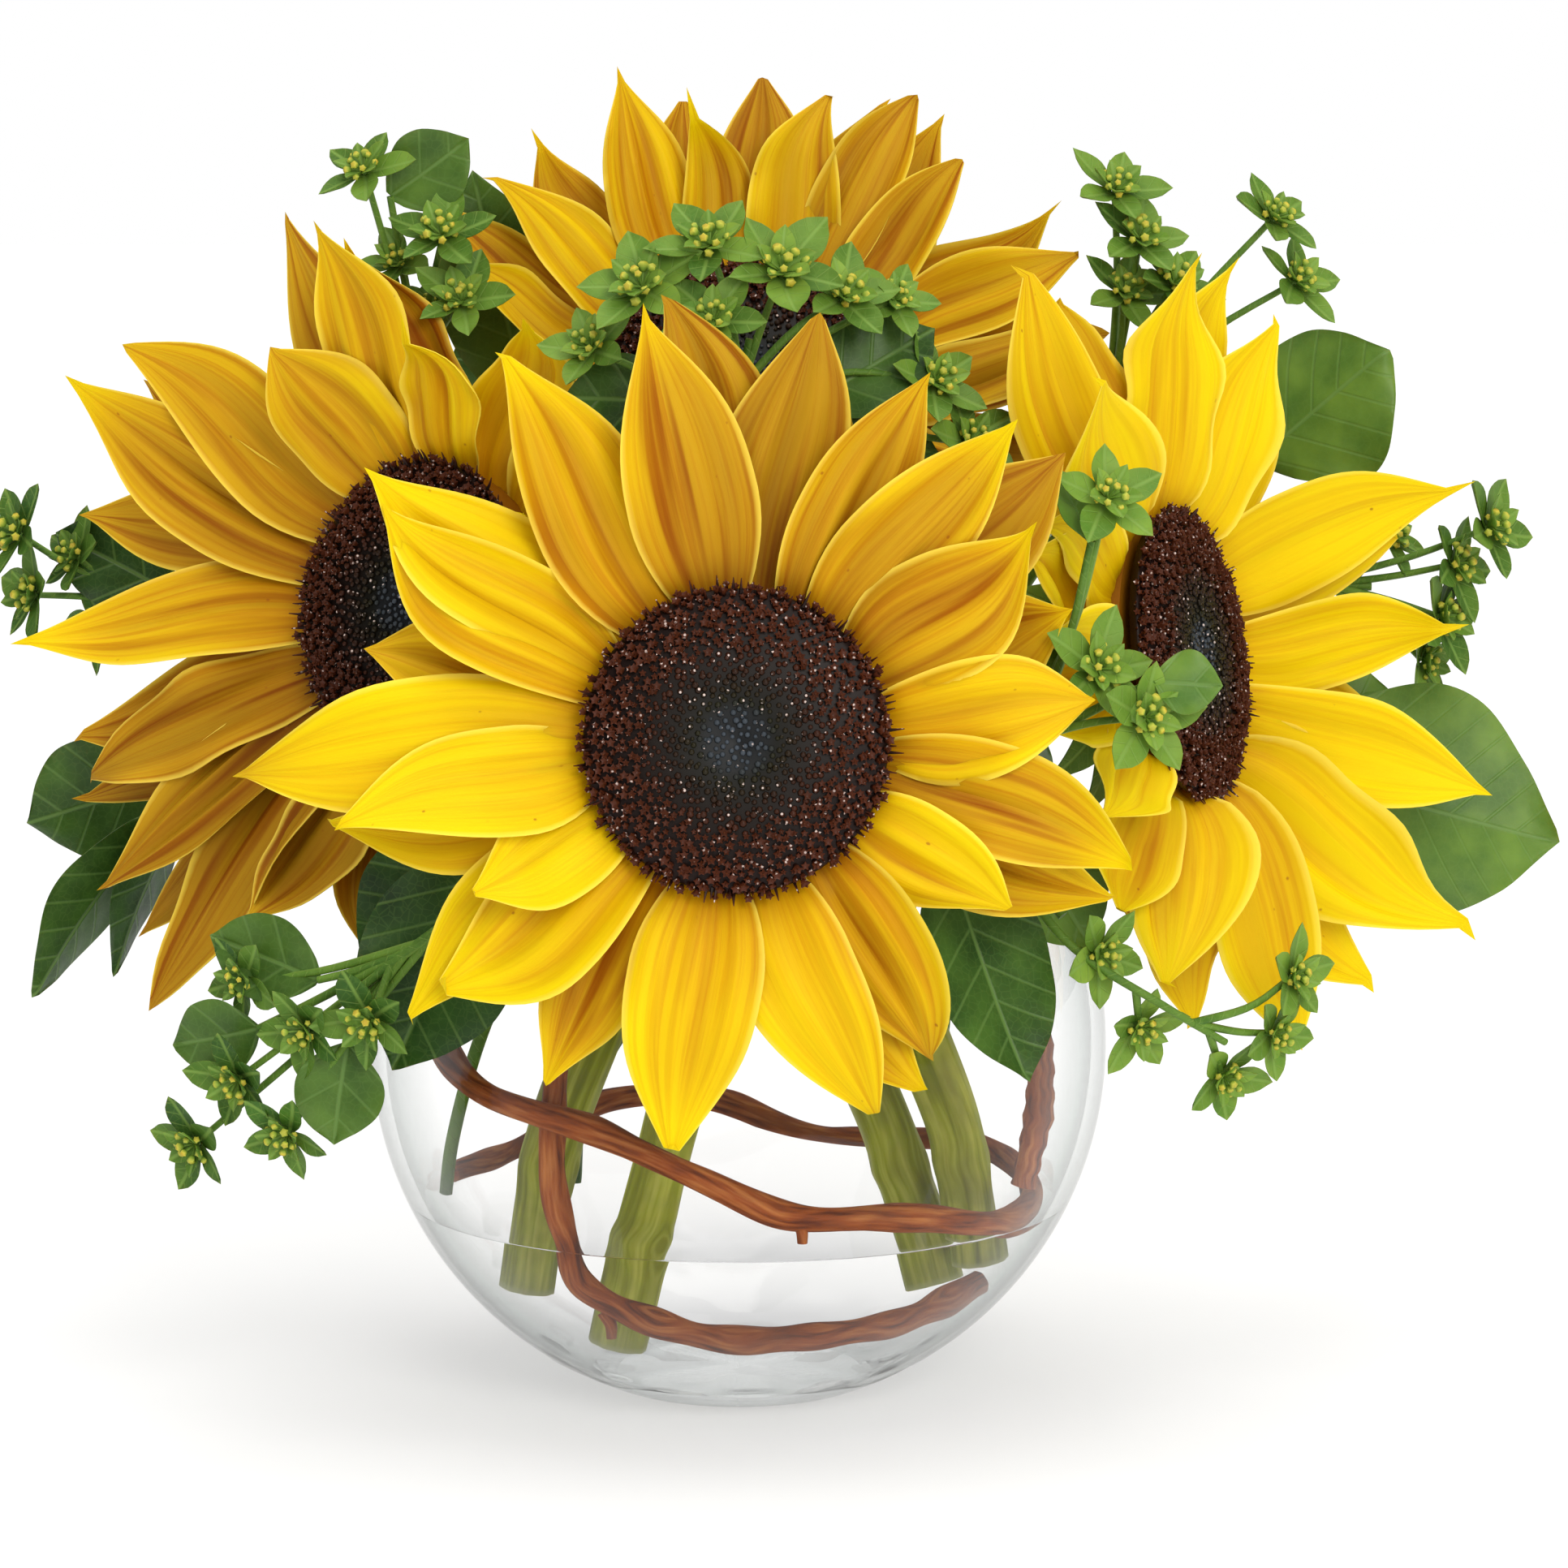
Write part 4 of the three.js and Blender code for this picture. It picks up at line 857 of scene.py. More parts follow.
def leaf_finish(name, dark_colours, lit_colours, vein, spacing, roughness):
    """Leaf tissue with a pale midrib, a fine net, and side veins at a spacing in millimetres. The tone of
    each point says how much of the lighter colours it has: painted light on leaves that stand in the light,
    and the darker ones as painted shade elsewhere."""
    finish, tree, shader = new_finish(name, Roughness=roughness, IOR=1.45, Specular_IOR_Level=0.3,
                                      Subsurface_Weight=0.08, Subsurface_Scale=0.001)
    _, _, each, mm_along, mm_across, light_share = read_marks(tree)
    aside = add(tree, "Math", {"operation": "ABSOLUTE"}, (mm_across,))
    slant = add(tree, "Math", TIMES, (aside, -SIDE_VEIN_SLOPE))
    level = add(tree, "Math", {"operation": "ADD"}, (mm_along, slant))
    count = add(tree, "Math", {"operation": "DIVIDE"}, (level, spacing))
    saw = add(tree, "Math", {"operation": "PINGPONG"}, (count, 0.5))
    side_vein = add(tree, "MapRange", inputs=(saw, 0.02, 0.07, 0.45, 0.0))
    midrib = add(tree, "MapRange", inputs=(aside, 0.2, 0.6, 0.7, 0.0))
    lines = add(tree, "Math", {"operation": "MAXIMUM"}, (side_vein, midrib))
    place = add(tree, "CombineXYZ", inputs=(mm_along, mm_across, each))
    cloud = pattern(tree, "TexNoise", place, (0.09, 0.09, 31.0), Detail=4.0)
    net = pattern(tree, "TexVoronoi", place, (0.6, 0.6, 31.0), {"feature": "DISTANCE_TO_EDGE"})
    net_line = add(tree, "MapRange", inputs=(net, 0.0, 0.08, 0.18, 0.0))
    tissue, lit_green = (add(tree, "ValToRGB", inputs=(cloud,), stops=list(zip((0.3, 0.7), ends)))
                     for ends in (dark_colours, lit_colours))
    relief = add(tree, "Bump", {"invert": True}, {"Strength": 0.5, "Distance": 0.0004, "Height": lines})
    # Painted light: the lighter greens are laid on by the tone, on the leaves that stand in the light.
    base = layered(tree, tissue, [(light_share, lit_green), (net_line, vein), (lines, vein)])
    feed(shader, {"Base Color": base, "Normal": relief})
    print("finish:", name)
    return finish


leaf_green = leaf_finish("leaf_waxy_green", ("#1b3610", "#355a1c"), ("#466a22", "#6e8e32"), "#648440",
                         LEAF_VEIN_SPACING, 0.42)
bract_green = leaf_finish("bract_soft_green", ("#264a16", "#45701f"), ("#5c8626", "#88a63e"), "#7a9a44",
                          BRACT_VEIN_SPACING, 0.55)

# %% Make the flower backs and stems
for name, flower in FLOWERS.items():
    seed = flower["seed"]
    back = placed(cup_skins(seed), flower["centre"], flower["normal"])
    stalk = rod(stem_line(flower), ribbed(seed), 36, 90, each=draw(seed, 90))
    make_piece(f"flower_stem_{name}", [*back, stalk], [f"stem_{name}"], [stem_green, bract_green])

# %% [markdown]
# ## Vines
# Thin willow-like vines are wound inside the bowl, pressed against its wall. Their bark is red-brown and
# smooth, with a swelling at each old leaf scar, fine lengthwise cracks, and short broken spurs. A curve
# with a bevel would be quick, but a rod of rings can swell at the scars and carry marks for the bark.

# %% Vine lines
BOWL_RADIUS = 76
BOWL_WALL = 3
BOWL_BASE = 26
BOWL_MOUTH = 50
BOWL_FLOOR = 4.5
BOWL_INNER = BOWL_RADIUS - BOWL_WALL
BOWL_CENTRE = math.sqrt(BOWL_RADIUS**2 - BOWL_BASE**2)
BOWL_RIM = BOWL_CENTRE + math.sqrt(BOWL_RADIUS**2 - BOWL_MOUTH**2)
VINE_RADIUS = 2.7
VINE_GAP = 1.3
SCAR_SPACING = 34
RING_SPACING = 1.3
SPUR = np.array((1.5, -0.5, -5.2))

# A point is [bearing, height, distance in from the wall], with the bearing in degrees from the front. A
# broken spur hangs from a vine at [bearing, height].
VINES = {
    "long": [
        (-64, 82, 0), (-48, 71, 0), (-22, 65, 0), (-6, 57, 0), (10, 49, 0), (31, 47, 0), (57, 41, 0),
        (90, 40, 0), (125, 42, 1), (165, 39, 0), (186, 46, 0), (207, 47, 0), (233, 40, 0), (262, 41, 0),
    ],
    "low": [
        (-42, 96, 8), (-36, 84, 8), (-35, 70, 7), (-34, 55, 3), (-33, 42, 1), (-32, 32, 0), (-10, 22, 0),
        (17, 21, 0), (42, 22, 0), (68, 26, 0),
    ],
    "upright": [(61, 48, 0), (62, 62, 1), (64, 78, 2), (68, 92, 5)],
}
SPURS = {"long": [(10, 49)], "low": [(-30, 26)], "upright": []}


def in_bowl(bearing, height, inset=0.0):
    across = BOWL_INNER - VINE_RADIUS - VINE_GAP - inset
    r = math.sqrt(across**2 - (height - BOWL_CENTRE) ** 2)
    a = math.radians(bearing)
    return np.array((r * math.sin(a), -r * math.cos(a), height))


def barked(i, count):
    scars = [(k + 0.5 + 0.5 * (draw(i + 60, k) - 0.5)) / count for k in range(count)]

    def radius(share, angle, along):
        r = VINE_RADIUS * (0.92 + 0.08 * np.sin(share * 61 + i))
        for k, scar in enumerate(scars):
            lean = 1 + 0.7 * np.cos(angle - 6.3 * draw(i + 61, k))
            r = r + 0.32 * lean * np.exp(-((share - scar) * count * 5.5) ** 2)
        cracks = 0.05 * np.sin(7 * angle + 0.35 * along) + 0.04 * np.sin(13 * angle - 0.21 * along)
        return r + cracks - 0.25 * np.exp(-(share * count * 3) ** 2)
    return radius


def spur_radius(share, angle, along):
    return 1.5 - 0.55 * share + 0.12 * np.cos(3 * angle)


def vine_skins(name, i):
    line = smooth([in_bowl(*point) for point in VINES[name]])
    length = spaced(line, 10)[2]
    scar_count = max(2, round(length / SCAR_SPACING))
    steps = round(length / RING_SPACING)
    skins = [rod(line, barked(i, scar_count), 20, steps, each=draw(i, 5), tone=draw(i, 6))]
    for bearing, height in SPURS[name]:
        foot = in_bowl(bearing, height)
        tip = foot + SPUR
        spur = smooth([foot, foot * 0.5 + tip * 0.5 + (0.6, 0, 0), tip])
        skins.append(rod(spur, spur_radius, 10, 8, each=0.9, tone=0.2))
    return skins


print("bowl rim height:", round(BOWL_RIM, 1), "mm")

# %% [markdown]
# ## Bark finish
# Young vine bark is smooth and red-brown, with greyish, drier patches where it has peeled. Cracks run
# lengthwise, less than a millimetre apart, and are drawn a little coarser to show.

# %% Bark
bark, tree, shader = new_finish("vine_bark_red_brown", Roughness=0.6, IOR=1.45, Specular_IOR_Level=0.25)
_, _, each, mm_along, mm_across, _ = read_marks(tree)
place = add(tree, "CombineXYZ", inputs=(mm_across, mm_along, each))
cracks = pattern(tree, "TexNoise", place, (0.9, 0.09, 9.0), Detail=5.0)
patches = pattern(tree, "TexNoise", place, (0.14, 0.05, 5.0), Detail=3.0)
brown = add(tree, "ValToRGB", inputs=(cracks,),
            stops=[(0.32, "#662c10"), (0.5, "#a4521e"), (0.68, "#c67a3c")])
dry = add(tree, "MapRange", inputs=(patches, 0.52, 0.7, 0.0, 0.35))
relief = add(tree, "Bump", inputs={"Strength": 0.7, "Distance": 0.0004, "Height": cracks})
feed(shader, {"Base Color": layered(tree, brown, [(dry, "#6e4a34")]), "Normal": relief})
print("finish:", bark.name)

# %% Make the vines
for i, name in enumerate(VINES):
    make_piece(f"wound_vine_{name}", vine_skins(name, i), [f"vine_{name}"], [bark])

# %% [markdown]
# ## Sprays and leafy branches
# The filler is a hare's-ear with small yellow florets over stars of pointed bracts, and between it stand
# branches with larger smooth leaves. All of them grow by one rule: a stem, thin branches that leave the
# nearest stem, and a star or a leaf on the end of each. The same places as in the CAD model are used, and
# the star, which is a plain faceted one there, becomes two tiers of curved bracts and a cluster of florets.

# %% Where the greens grow
# A stem runs from its foot in the water to its top. An umbel is [x, y, z, size], and a leaf is its root, its
# tip, its width and, for some, the way it faces.
GREENS = {
    "spray_top": {
        "stem": [[-24, -3, 22], [-19, -5, 44], [-12, -6, 78], [-10, -20, 108], [-12, -36, 131],
            [-10, -46, 165], [0, -46, 205], [3, -46, 219]],
        "umbels": [[-18, -48, 229, 11], [-5, -46, 237, 10], [-4, -53, 223, 9], [9, -48, 232, 11],
            [21, -44, 227, 10], [31, -38, 226, 8], [39, -36, 210, 9], [-28, -44, 217, 9],
            [46, -36, 198, 9]],
        "leaves": [[[-12, -42, 206], [-34, -40, 208], 18, [0, -1, 0.3]],
            [[14, -42, 206], [40, -33, 220], 20, [0, -1, 0.3]],
            [[12, -43, 200], [40, -36, 196], 20, [0, -1, 0.2]],
            [[-8, -44, 202], [-30, -42, 188], 18, [0, -1, 0.2]]],
    },
    "spray_upper_left": {
        "stem": [[-45, 24, 30], [-39.5, 26, 47], [-29, 28, 73], [-28, 30, 100], [-34, 28, 131],
            [-42, 26, 160], [-62, 18, 195], [-66, 12, 216]],
        "umbels": [[-76, 6, 250, 9], [-60, 2, 237, 10], [-69, 9, 231, 8], [-56, -2, 224, 9],
            [-63, 10, 221, 8]],
        "leaves": [[[-71, 8, 245], [-54, 6, 256], 17, [0.1, -1, 0.1]]],
    },
    "leafy_upper_left": {
        "stem": [[-36, 37, 30], [-34, 37, 50], [-18, 40, 80], [-14, 42, 105], [-16, 41, 131], [-34, 46, 165],
            [-46, 42, 200]],
        "leaves": [[[-45, 40, 200], [-56, 34, 250], 26, [0, -1, 0.1]], [[-40, 46, 180], [-62, 66, 214], 26],
            [[-30, 46, 160], [-20, 78, 190], 28], [[-17, 44, 138], [-4, 84, 132], 27]],
    },
    "spray_upper_right": {
        "stem": [[50, 22, 38], [46, 24, 50], [36, 24, 77], [31, 22, 104], [39, 19, 131], [52, 24, 152],
            [70, 26, 180], [80, 18, 212]],
        "umbels": [[77, 10, 246, 9], [82, 8, 236, 10], [89, 8, 227, 9], [79, 10, 225, 9],
            [110, 18, 240, 9], [115, 20, 227, 9]],
    },
    "leafy_upper_right": {
        "stem": [[46, 32, 36], [43, 34, 50], [32, 36, 78], [30, 34, 105], [34, 27, 131], [62, 38, 150],
            [90, 46, 170], [110, 46, 190]],
        "leaves": [[[111, 45, 188], [136, 38, 214], 36], [[92, 46, 170], [88, 62, 206], 30],
            [[76, 42, 160], [60, 74, 186], 28], [[42, 28, 150], [22, 62, 178], 26]],
    },
    "leafy_right": {
        "stem": [[36, 36, 32], [33, 38, 46], [19.5, 40, 72], [14, 40, 100], [25, 36, 131], [60, 44, 141],
            [95, 46, 136], [116, 42, 124]],
        "leaves": [[[116, 41, 124], [174, 34, 104], 52, [-0.1, -1, 0.5]],
            [[104, 46, 134], [140, 52, 136], 26], [[80, 46, 138], [98, 76, 118], 30],
            [[62, 47, 135], [58, 84, 118], 27]],
    },
    "spray_right": {
        "stem": [[31, 44, 38], [25, 46, 58], [22, 46, 80], [24, 40, 108], [30, 31, 131], [62, 50, 152],
            [104, 58, 160], [136, 58, 160]],
        "umbels": [[160, 52, 173, 10], [153, 54, 165, 10], [150, 52, 154, 10], [147, 57, 144, 9],
            [140, 62, 170, 9]],
    },
    "spray_left": {
        "stem": [[-46, 13, 32], [-39, 13, 50], [-29, 13, 76], [-38, 14, 108], [-42, 12, 131], [-50, 17, 138],
            [-75, 38, 145], [-115, 56, 154], [-138, 62, 158]],
        "umbels": [[-155, 58, 171, 10], [-152, 58, 158, 10], [-143, 60, 166, 9], [-138, 60, 151, 9]],
        "leaves": [[[-122, 58, 158], [-148, 64, 172], 20, [0, -1, 0.3]]],
    },
    "leafy_left": {
        "stem": [[-46, 5, 30], [-39, 5.5, 50], [-29.5, 5, 77], [-38, 4, 110], [-43, 3, 131], [-52, 8, 137],
            [-80, 28, 138], [-112, 44, 126], [-126, 44, 116]],
        "leaves": [[[-124, 45, 118], [-154, 44, 112], 28], [[-124, 42, 112], [-150, 28, 74], 22],
            [[-116, 42, 118], [-134, 34, 78], 18], [[-96, 38, 130], [-116, 74, 112], 30],
            [[-66, 20, 132], [-72, 64, 116], 28]],
    },
    "spray_lower_left": {
        "stem": [[-61, -5, 40], [-59, -7, 52], [-52, -13, 76], [-38, -24, 106], [-24, -36, 131],
            [-29, -43.5, 135], [-38, -56, 126], [-52, -62, 110], [-70, -60, 96]],
        "umbels": [[-84, -60, 85, 9], [-98, -54, 74, 9], [-71, -66, 88, 9], [-107, -48, 60, 9],
            [-88, -58, 64, 9], [-97, -50, 93, 8]],
        "leaves": [[[-82, -56, 94], [-104, -46, 102], 17, [-0.2, -1, 0.2]],
            [[-76, -60, 82], [-80, -60, 62], 18, [-0.1, -1, 0]],
            [[-94, -54, 84], [-112, -44, 78], 16, [-0.2, -1, 0]]],
    },
    "leafy_lower_left": {
        "stem": [[-22, -12, 24], [-18, -13, 44], [-9, -14, 78], [-18, -18, 108], [-30, -30, 131],
            [-36, -36, 135], [-43, -45, 131], [-48, -51, 122]],
        "leaves": [[[-49, -51, 120], [-66, -54, 74], 32, [-0.2, -1, -0.1]],
            [[-43, -47, 122], [-76, -43, 93], 32, [-0.2, -1, 0.3]]],
    },
    "leafy_lower_right": {
        "stem": [[-23, 4, 26], [-19, 3, 45], [-12, 2, 72], [-4, -4, 90], [10, -18, 110], [22, -36, 131],
            [27, -44, 135], [36, -54, 131], [42, -61, 121]],
        "leaves": [[[42, -61, 120], [55, -76, 77], 30]],
    },
    "spray_lower_right": {
        "stem": [[50, 12, 34], [46, 12, 46], [42.5, 14, 60], [44, 12, 84], [42, -10, 112], [31, -30, 131],
            [37, -36, 135], [49, -49, 125], [64, -57, 107]],
        "forks": [
            [[37, -36, 135], [46, -48, 139], [55, -65, 141], [61.5, -75.5, 148]],
            [[49, -49, 125], [64, -60, 103], [84, -64, 90], [96, -58, 82]],
        ],
        "umbels": [[71, -59, 100, 9], [79, -57, 85, 8], [110, -46, 93, 8], [106, -48, 82, 8],
            [96, -50, 74, 9], [69, -78, 158, 10], [78, -80, 149, 10], [71, -72, 190, 9]],
        "leaves": [[[80, -79, 156], [93, -80, 155], 13], [[68, -73, 182], [61, -69, 196], 11],
            [[52, -44, 126], [72, -37, 98], 24, [0.1, -1, 0.2]]],
    },
}
print("greens:", len(GREENS), "stems,", sum(len(g.get("umbels", [])) for g in GREENS.values()), "stars")

# %% Branches
MIDDLE = np.array((0, -5, 130))
TWIG_RADIUS = 1.35
BRANCH_RADIUS = 0.75
TWIG_TONE = 0.4


def nearest_on(line, to):
    return int(np.argmin(np.linalg.norm(line - to, axis=1)))


def branch_path(lines, to):
    """A branch leaves the nearest stem a little way back along it and bends towards its end."""
    line = min(lines, key=lambda one: np.linalg.norm(one - to, axis=1).min())
    nearest = nearest_on(line, to)
    distance = np.linalg.norm(line[nearest] - to)
    k = nearest
    while k > 1 and np.linalg.norm(line[k] - line[nearest]) < 0.35 * distance:
        k -= 1
    along = unit(line[k] - line[k - 1])
    middle = (line[k] + to) / 2 + along * 0.12 * distance
    return [line[k], to] if distance < 12 else [line[k], middle, to]


print("branches ready")

# %% Stars of bracts and florets
STAR_FLORETS = 11
FLORET = floret_template([(0.3, -0.5, 0), (0.62, 0, 0), (0.8, 0.55, 0.25), (0.45, 0.95, 0.2)], 10, 1.0)
BRACT_OUTLINE = [[0, 0.3], [0.25, 0.8], [0.5, 1], [0.75, 0.74], [0.92, 0.24], [1, 0]]


def outlined(rows, width):
    return lambda share: width / 2 * profile(rows, share)


def star_bract(size, seed, i, tier, lit_green):
    """Bract i of the lower tier, 0, or the upper one, 1, which is shorter, steeper and lighter."""
    out = spoke(math.radians(360 * draw(seed, 40) / 5 + 72 * i + 36 * tier))
    length = size * pick(1.05, 1.35, seed, i) * (1 - 0.42 * tier)
    rise = math.degrees(math.atan(0.3 * pick(0.4, 1.2, seed, i + 20)))
    own_tone = pick(-0.2, 0.25, seed, i + 120 + 7 * tier)
    return blade(
        root=out * 0.5 + (0, 0, 0.1 + 0.7 * tier), out=out, up=UP, length=length,
        half=outlined(BRACT_OUTLINE, length * pick(0.5, 0.64, seed, i + 10)),
        lift=(rise + 10 + 28 * tier, rise - 10 + 18 * tier), rows=9, cols=7,
        form=folded(0.09 * length, 0.1), thickness=0.35, turn=pick(-14, 14, seed, i + 30), roll=6,
        each=draw(seed, i + 50), tone=lit_green + 0.25 * tier + own_tone,
    )


def stalked_floret(size, seed, i):
    """A floret on a thin stalk, set on the spiral of the golden angle. Finish 1 is for the floret."""
    outward = spoke(math.radians(GOLDEN_ANGLE * i + 360 * draw(seed, 70)))
    way = tipped(outward, math.radians(9 + 62 * math.sqrt(i / STAR_FLORETS)))
    reach = size * pick(0.3, 0.44, seed, i + 80)
    line = [(0, 0, 0.3), way * reach * 0.55 + (0, 0, 0.5), way * reach + (0, 0, 0.5)]
    stalk = rod(smooth(line, 4), tapered(0.26, 0.2), 5, 4, each=0.5, tone=0.9)
    scale = size / 9 * pick(0.85, 1.2, seed, i + 60)
    return [stalk, copied(FLORET, scale, axes_on(way), line[-1], {EACH: draw(seed, i + 95)}, finish=1)]


def umbel_skins(path, facing, size, seed, lit_green):
    """A branch with a star on its end: two tiers of five bracts and a cluster of florets."""
    radius = tapered(BRANCH_RADIUS + 0.15, BRANCH_RADIUS - 0.1)
    branch = rod(smooth(path), radius, 7, 10, each=draw(seed, 2), tone=TWIG_TONE)
    star = [star_bract(size, seed, i, tier, lit_green) for i in range(5) for tier in (0, 1)]
    for i in range(STAR_FLORETS):
        star += stalked_floret(size, seed, i)
    return [branch, *placed(star, path[-1], facing)]


print("florets on a star:", STAR_FLORETS)

# %% Leaves
LEAF_OUTLINE = [[0, 0.14], [0.1, 0.5], [0.3, 0.9], [0.45, 1], [0.62, 0.94], [0.82, 0.58], [0.94, 0.2], [1, 0]]
BIG_LEAF = 24


def quilted(width, length, seed):
    """Heights over a leaf: folded at its midrib, swollen between its side veins, wavy at its edge."""
    def form(share, u, half):
        arch = np.sin(np.pi * np.clip(0.1 + 0.9 * share, 0, 1)) ** 0.5
        fold = -0.09 * width * arch * (1 - np.abs(u) ** 1.5)
        level = (share * length - SIDE_VEIN_SLOPE * np.abs(u) * half) / LEAF_VEIN_SPACING
        swell = 0.3 * np.abs(np.sin(np.pi * level)) ** 0.7 * np.minimum(1, 4 * (1 - np.abs(u)))
        edge = 0.025 * width * np.abs(u) ** 3 * np.sin(12 * share + 6.3 * draw(seed, 7) + np.sign(u))
        return fold + swell * np.minimum(1, 6 * np.abs(u)) + edge
    return form


def leaf_skins(path, tip, width, facing, seed, light_share):
    """A leaf on its stalk. Finish 2 is for the leaf."""
    root, tip = np.asarray(path[-1], float), np.asarray(tip, float)
    out = unit(tip - root)
    up = unit((root + tip) / 2 - MIDDLE if facing is None else facing)
    up = unit(up - out * np.dot(up, out))
    length = np.linalg.norm(tip - root)
    curl = pick(6, 20, seed, 3)
    rows, cols = (34, 21) if length > BIG_LEAF else (20, 13)
    radius = tapered(BRANCH_RADIUS + 0.3, BRANCH_RADIUS)
    stalk = rod(smooth(path), radius, 8, 12, each=draw(seed, 2), tone=TWIG_TONE)
    leaf = blade(
        root=root, out=out, up=up, length=length, half=outlined(LEAF_OUTLINE, width), lift=(curl, -curl),
        rows=rows, cols=cols, form=quilted(width, length, seed), thickness=0.45,
        turn=pick(-8, 8, seed, 5), each=draw(seed, 9),
        tone=light_share + pick(-0.1, 0.1, seed, 11), finish=2,
    )
    return [stalk, leaf]


print("leaves ready")

# %% [markdown]
# ## Floret finish
# The hare's-ear florets are small greenish yellow domes. Their tops are yellow and their undersides green, so
# a ramp over the height inside each floret is all that they need, with a little change from one to the next.

# %% Yellow florets
floret_yellow, tree, shader = new_finish("floret_greenish_yellow", Roughness=0.6, IOR=1.4)
_, height, each = read_marks(tree, ["part"])
rise = add(tree, "ValToRGB", inputs=(height,),
           stops=[(0.0, "#7d9a34"), (0.45, "#a8ac38"), (0.85, "#cdbb3c"), (1.0, "#b09424")])
own = add(tree, "MapRange", inputs=(each, 0.0, 1.0, 0.0, 0.5))
feed(shader, {"Base Color": layered(tree, rise, [(own, "#8fae42")])})
print("finish:", floret_yellow.name)

# %% Make the greens
# How much painted light the leaves of a green get, from 0 to 1, and then its bracts: those that stand in the
# light are painted lighter. The rest stay dark, as painted shade.
PAINTED_LIGHT = {
    "spray_top": (0.1, 0.55), "spray_upper_left": (0.5, 0.45), "spray_upper_right": (0, 0.5),
    "spray_left": (0, 0.05), "spray_right": (0, 0.4), "spray_lower_left": (0.45, 0.15),
    "spray_lower_right": (0.9, 0.7), "leafy_right": (0.85, 0), "leafy_upper_right": (0.75, 0),
    "leafy_upper_left": (0.45, 0), "leafy_lower_right": (0.15, 0), "leafy_left": (0.1, 0),
}


def green_skins(green, seed, light_share, lit_green):
    """A stem with its forks, and a branch from the nearest of them to each star and leaf."""
    stem = smooth(green["stem"])
    steps = len(green["stem"]) + 1
    lines = [spaced(stem, 5 * steps)[0]]
    radius = tapered(TWIG_RADIUS + 0.1, TWIG_RADIUS - 0.25)
    skins = [rod(stem, radius, 10, 12 * steps, each=draw(seed, 1), tone=TWIG_TONE)]
    for first, *rest in green.get("forks", []):
        fork = smooth([lines[0][nearest_on(lines[0], np.array(first))], *rest])
        lines.append(spaced(fork, 15)[0])
        radius = tapered(BRANCH_RADIUS + 0.3, BRANCH_RADIUS)
        skins.append(rod(fork, radius, 8, 24, each=draw(seed, 1), tone=TWIG_TONE))
    for i, (*place, size) in enumerate(green.get("umbels", [])):
        at = np.array(place, float)
        path = branch_path(lines, at)
        facing = unit(at - MIDDLE) + (0, -1.3, 0.2) + 0.6 * unit(at - path[-2])
        skins += umbel_skins(path, facing, size, seed + 9 * i, lit_green)
    for i, (root, tip, width, *facing) in enumerate(green.get("leaves", [])):
        path = branch_path(lines, np.array(root, float))
        skins += leaf_skins(path, tip, width, facing[0] if facing else None, seed + 5 * i, light_share)
    return skins


for i, (name, green) in enumerate(GREENS.items()):
    skins = green_skins(green, 3 + 7 * i, *PAINTED_LIGHT.get(name, (0, 0)))
    slot, skin_green = ("leaf", leaf_green) if name.startswith("leafy") else ("spray", bract_green)
    make_piece(f"green_{name}", skins, [name], [skin_green, floret_yellow, leaf_green])

# %% [markdown]
# ## Glass bowl and water
# The bowl is blown soda-lime glass, 3 mm thick, with a fire-polished lip and a flat base that is a little
# uneven inside. Glass shows only by what it bends and mirrors, so the wall has to be a real closed wall with
# an inside and an outside. The water is a closed body too, and it reaches a hair into the glass: with a gap
# of air between them, the water would mirror like a bubble.

# %% Bowl and water bodies
WATER_LEVEL = 40
WATER_OVERLAP = 0.12
# Rows are [radius, height], and the heights of the lip are counted from the rim.
BOWL_FOOT = [(8, 0), (18, 0), (24.8, 0), (25.7, 0.12), (26.4, 0.42)]
BOWL_LIP = [(49.9, 0), (49.5, 0.6), (48.7, 0.95), (47.8, 0.7), (47.2, -0.2)]
BOWL_WELL = [(29.6, 4.9), (28.4, 4.6), (26, BOWL_FLOOR), (16, BOWL_FLOOR), (7, BOWL_FLOOR)]
TURNED_SIDES = 144
# The angles at which the wall starts and ends, seen from the middle of the sphere.
WALL_START = -1.195
WALL_END = 0.843


def sphere_radius(radius, height):
    return math.sqrt(radius**2 - (height - BOWL_CENTRE) ** 2)


def bowl_skins():
    heights = BOWL_CENTRE + BOWL_RADIUS * np.sin(np.linspace(WALL_START, WALL_END, 64))
    outer = [(sphere_radius(BOWL_RADIUS, z), z) for z in heights if 0.7 < z < BOWL_RIM - 0.6]
    inner = [(sphere_radius(BOWL_INNER, z), z) for z in heights[::-1] if 5.4 < z < BOWL_RIM - 1.8]
    lip = [(r, BOWL_RIM + rise) for r, rise in BOWL_LIP]
    bowl = lathe(BOWL_FOOT + outer + lip + inner + BOWL_WELL, TURNED_SIDES, 0, BOWL_FLOOR)
    x, y, z = bowl[0].T
    low = (z > BOWL_FLOOR - 0.2) & (z < 8)
    z[low] += 0.3 * np.sin(0.23 * x[low] + 1) * np.sin(0.31 * y[low])
    return [bowl]


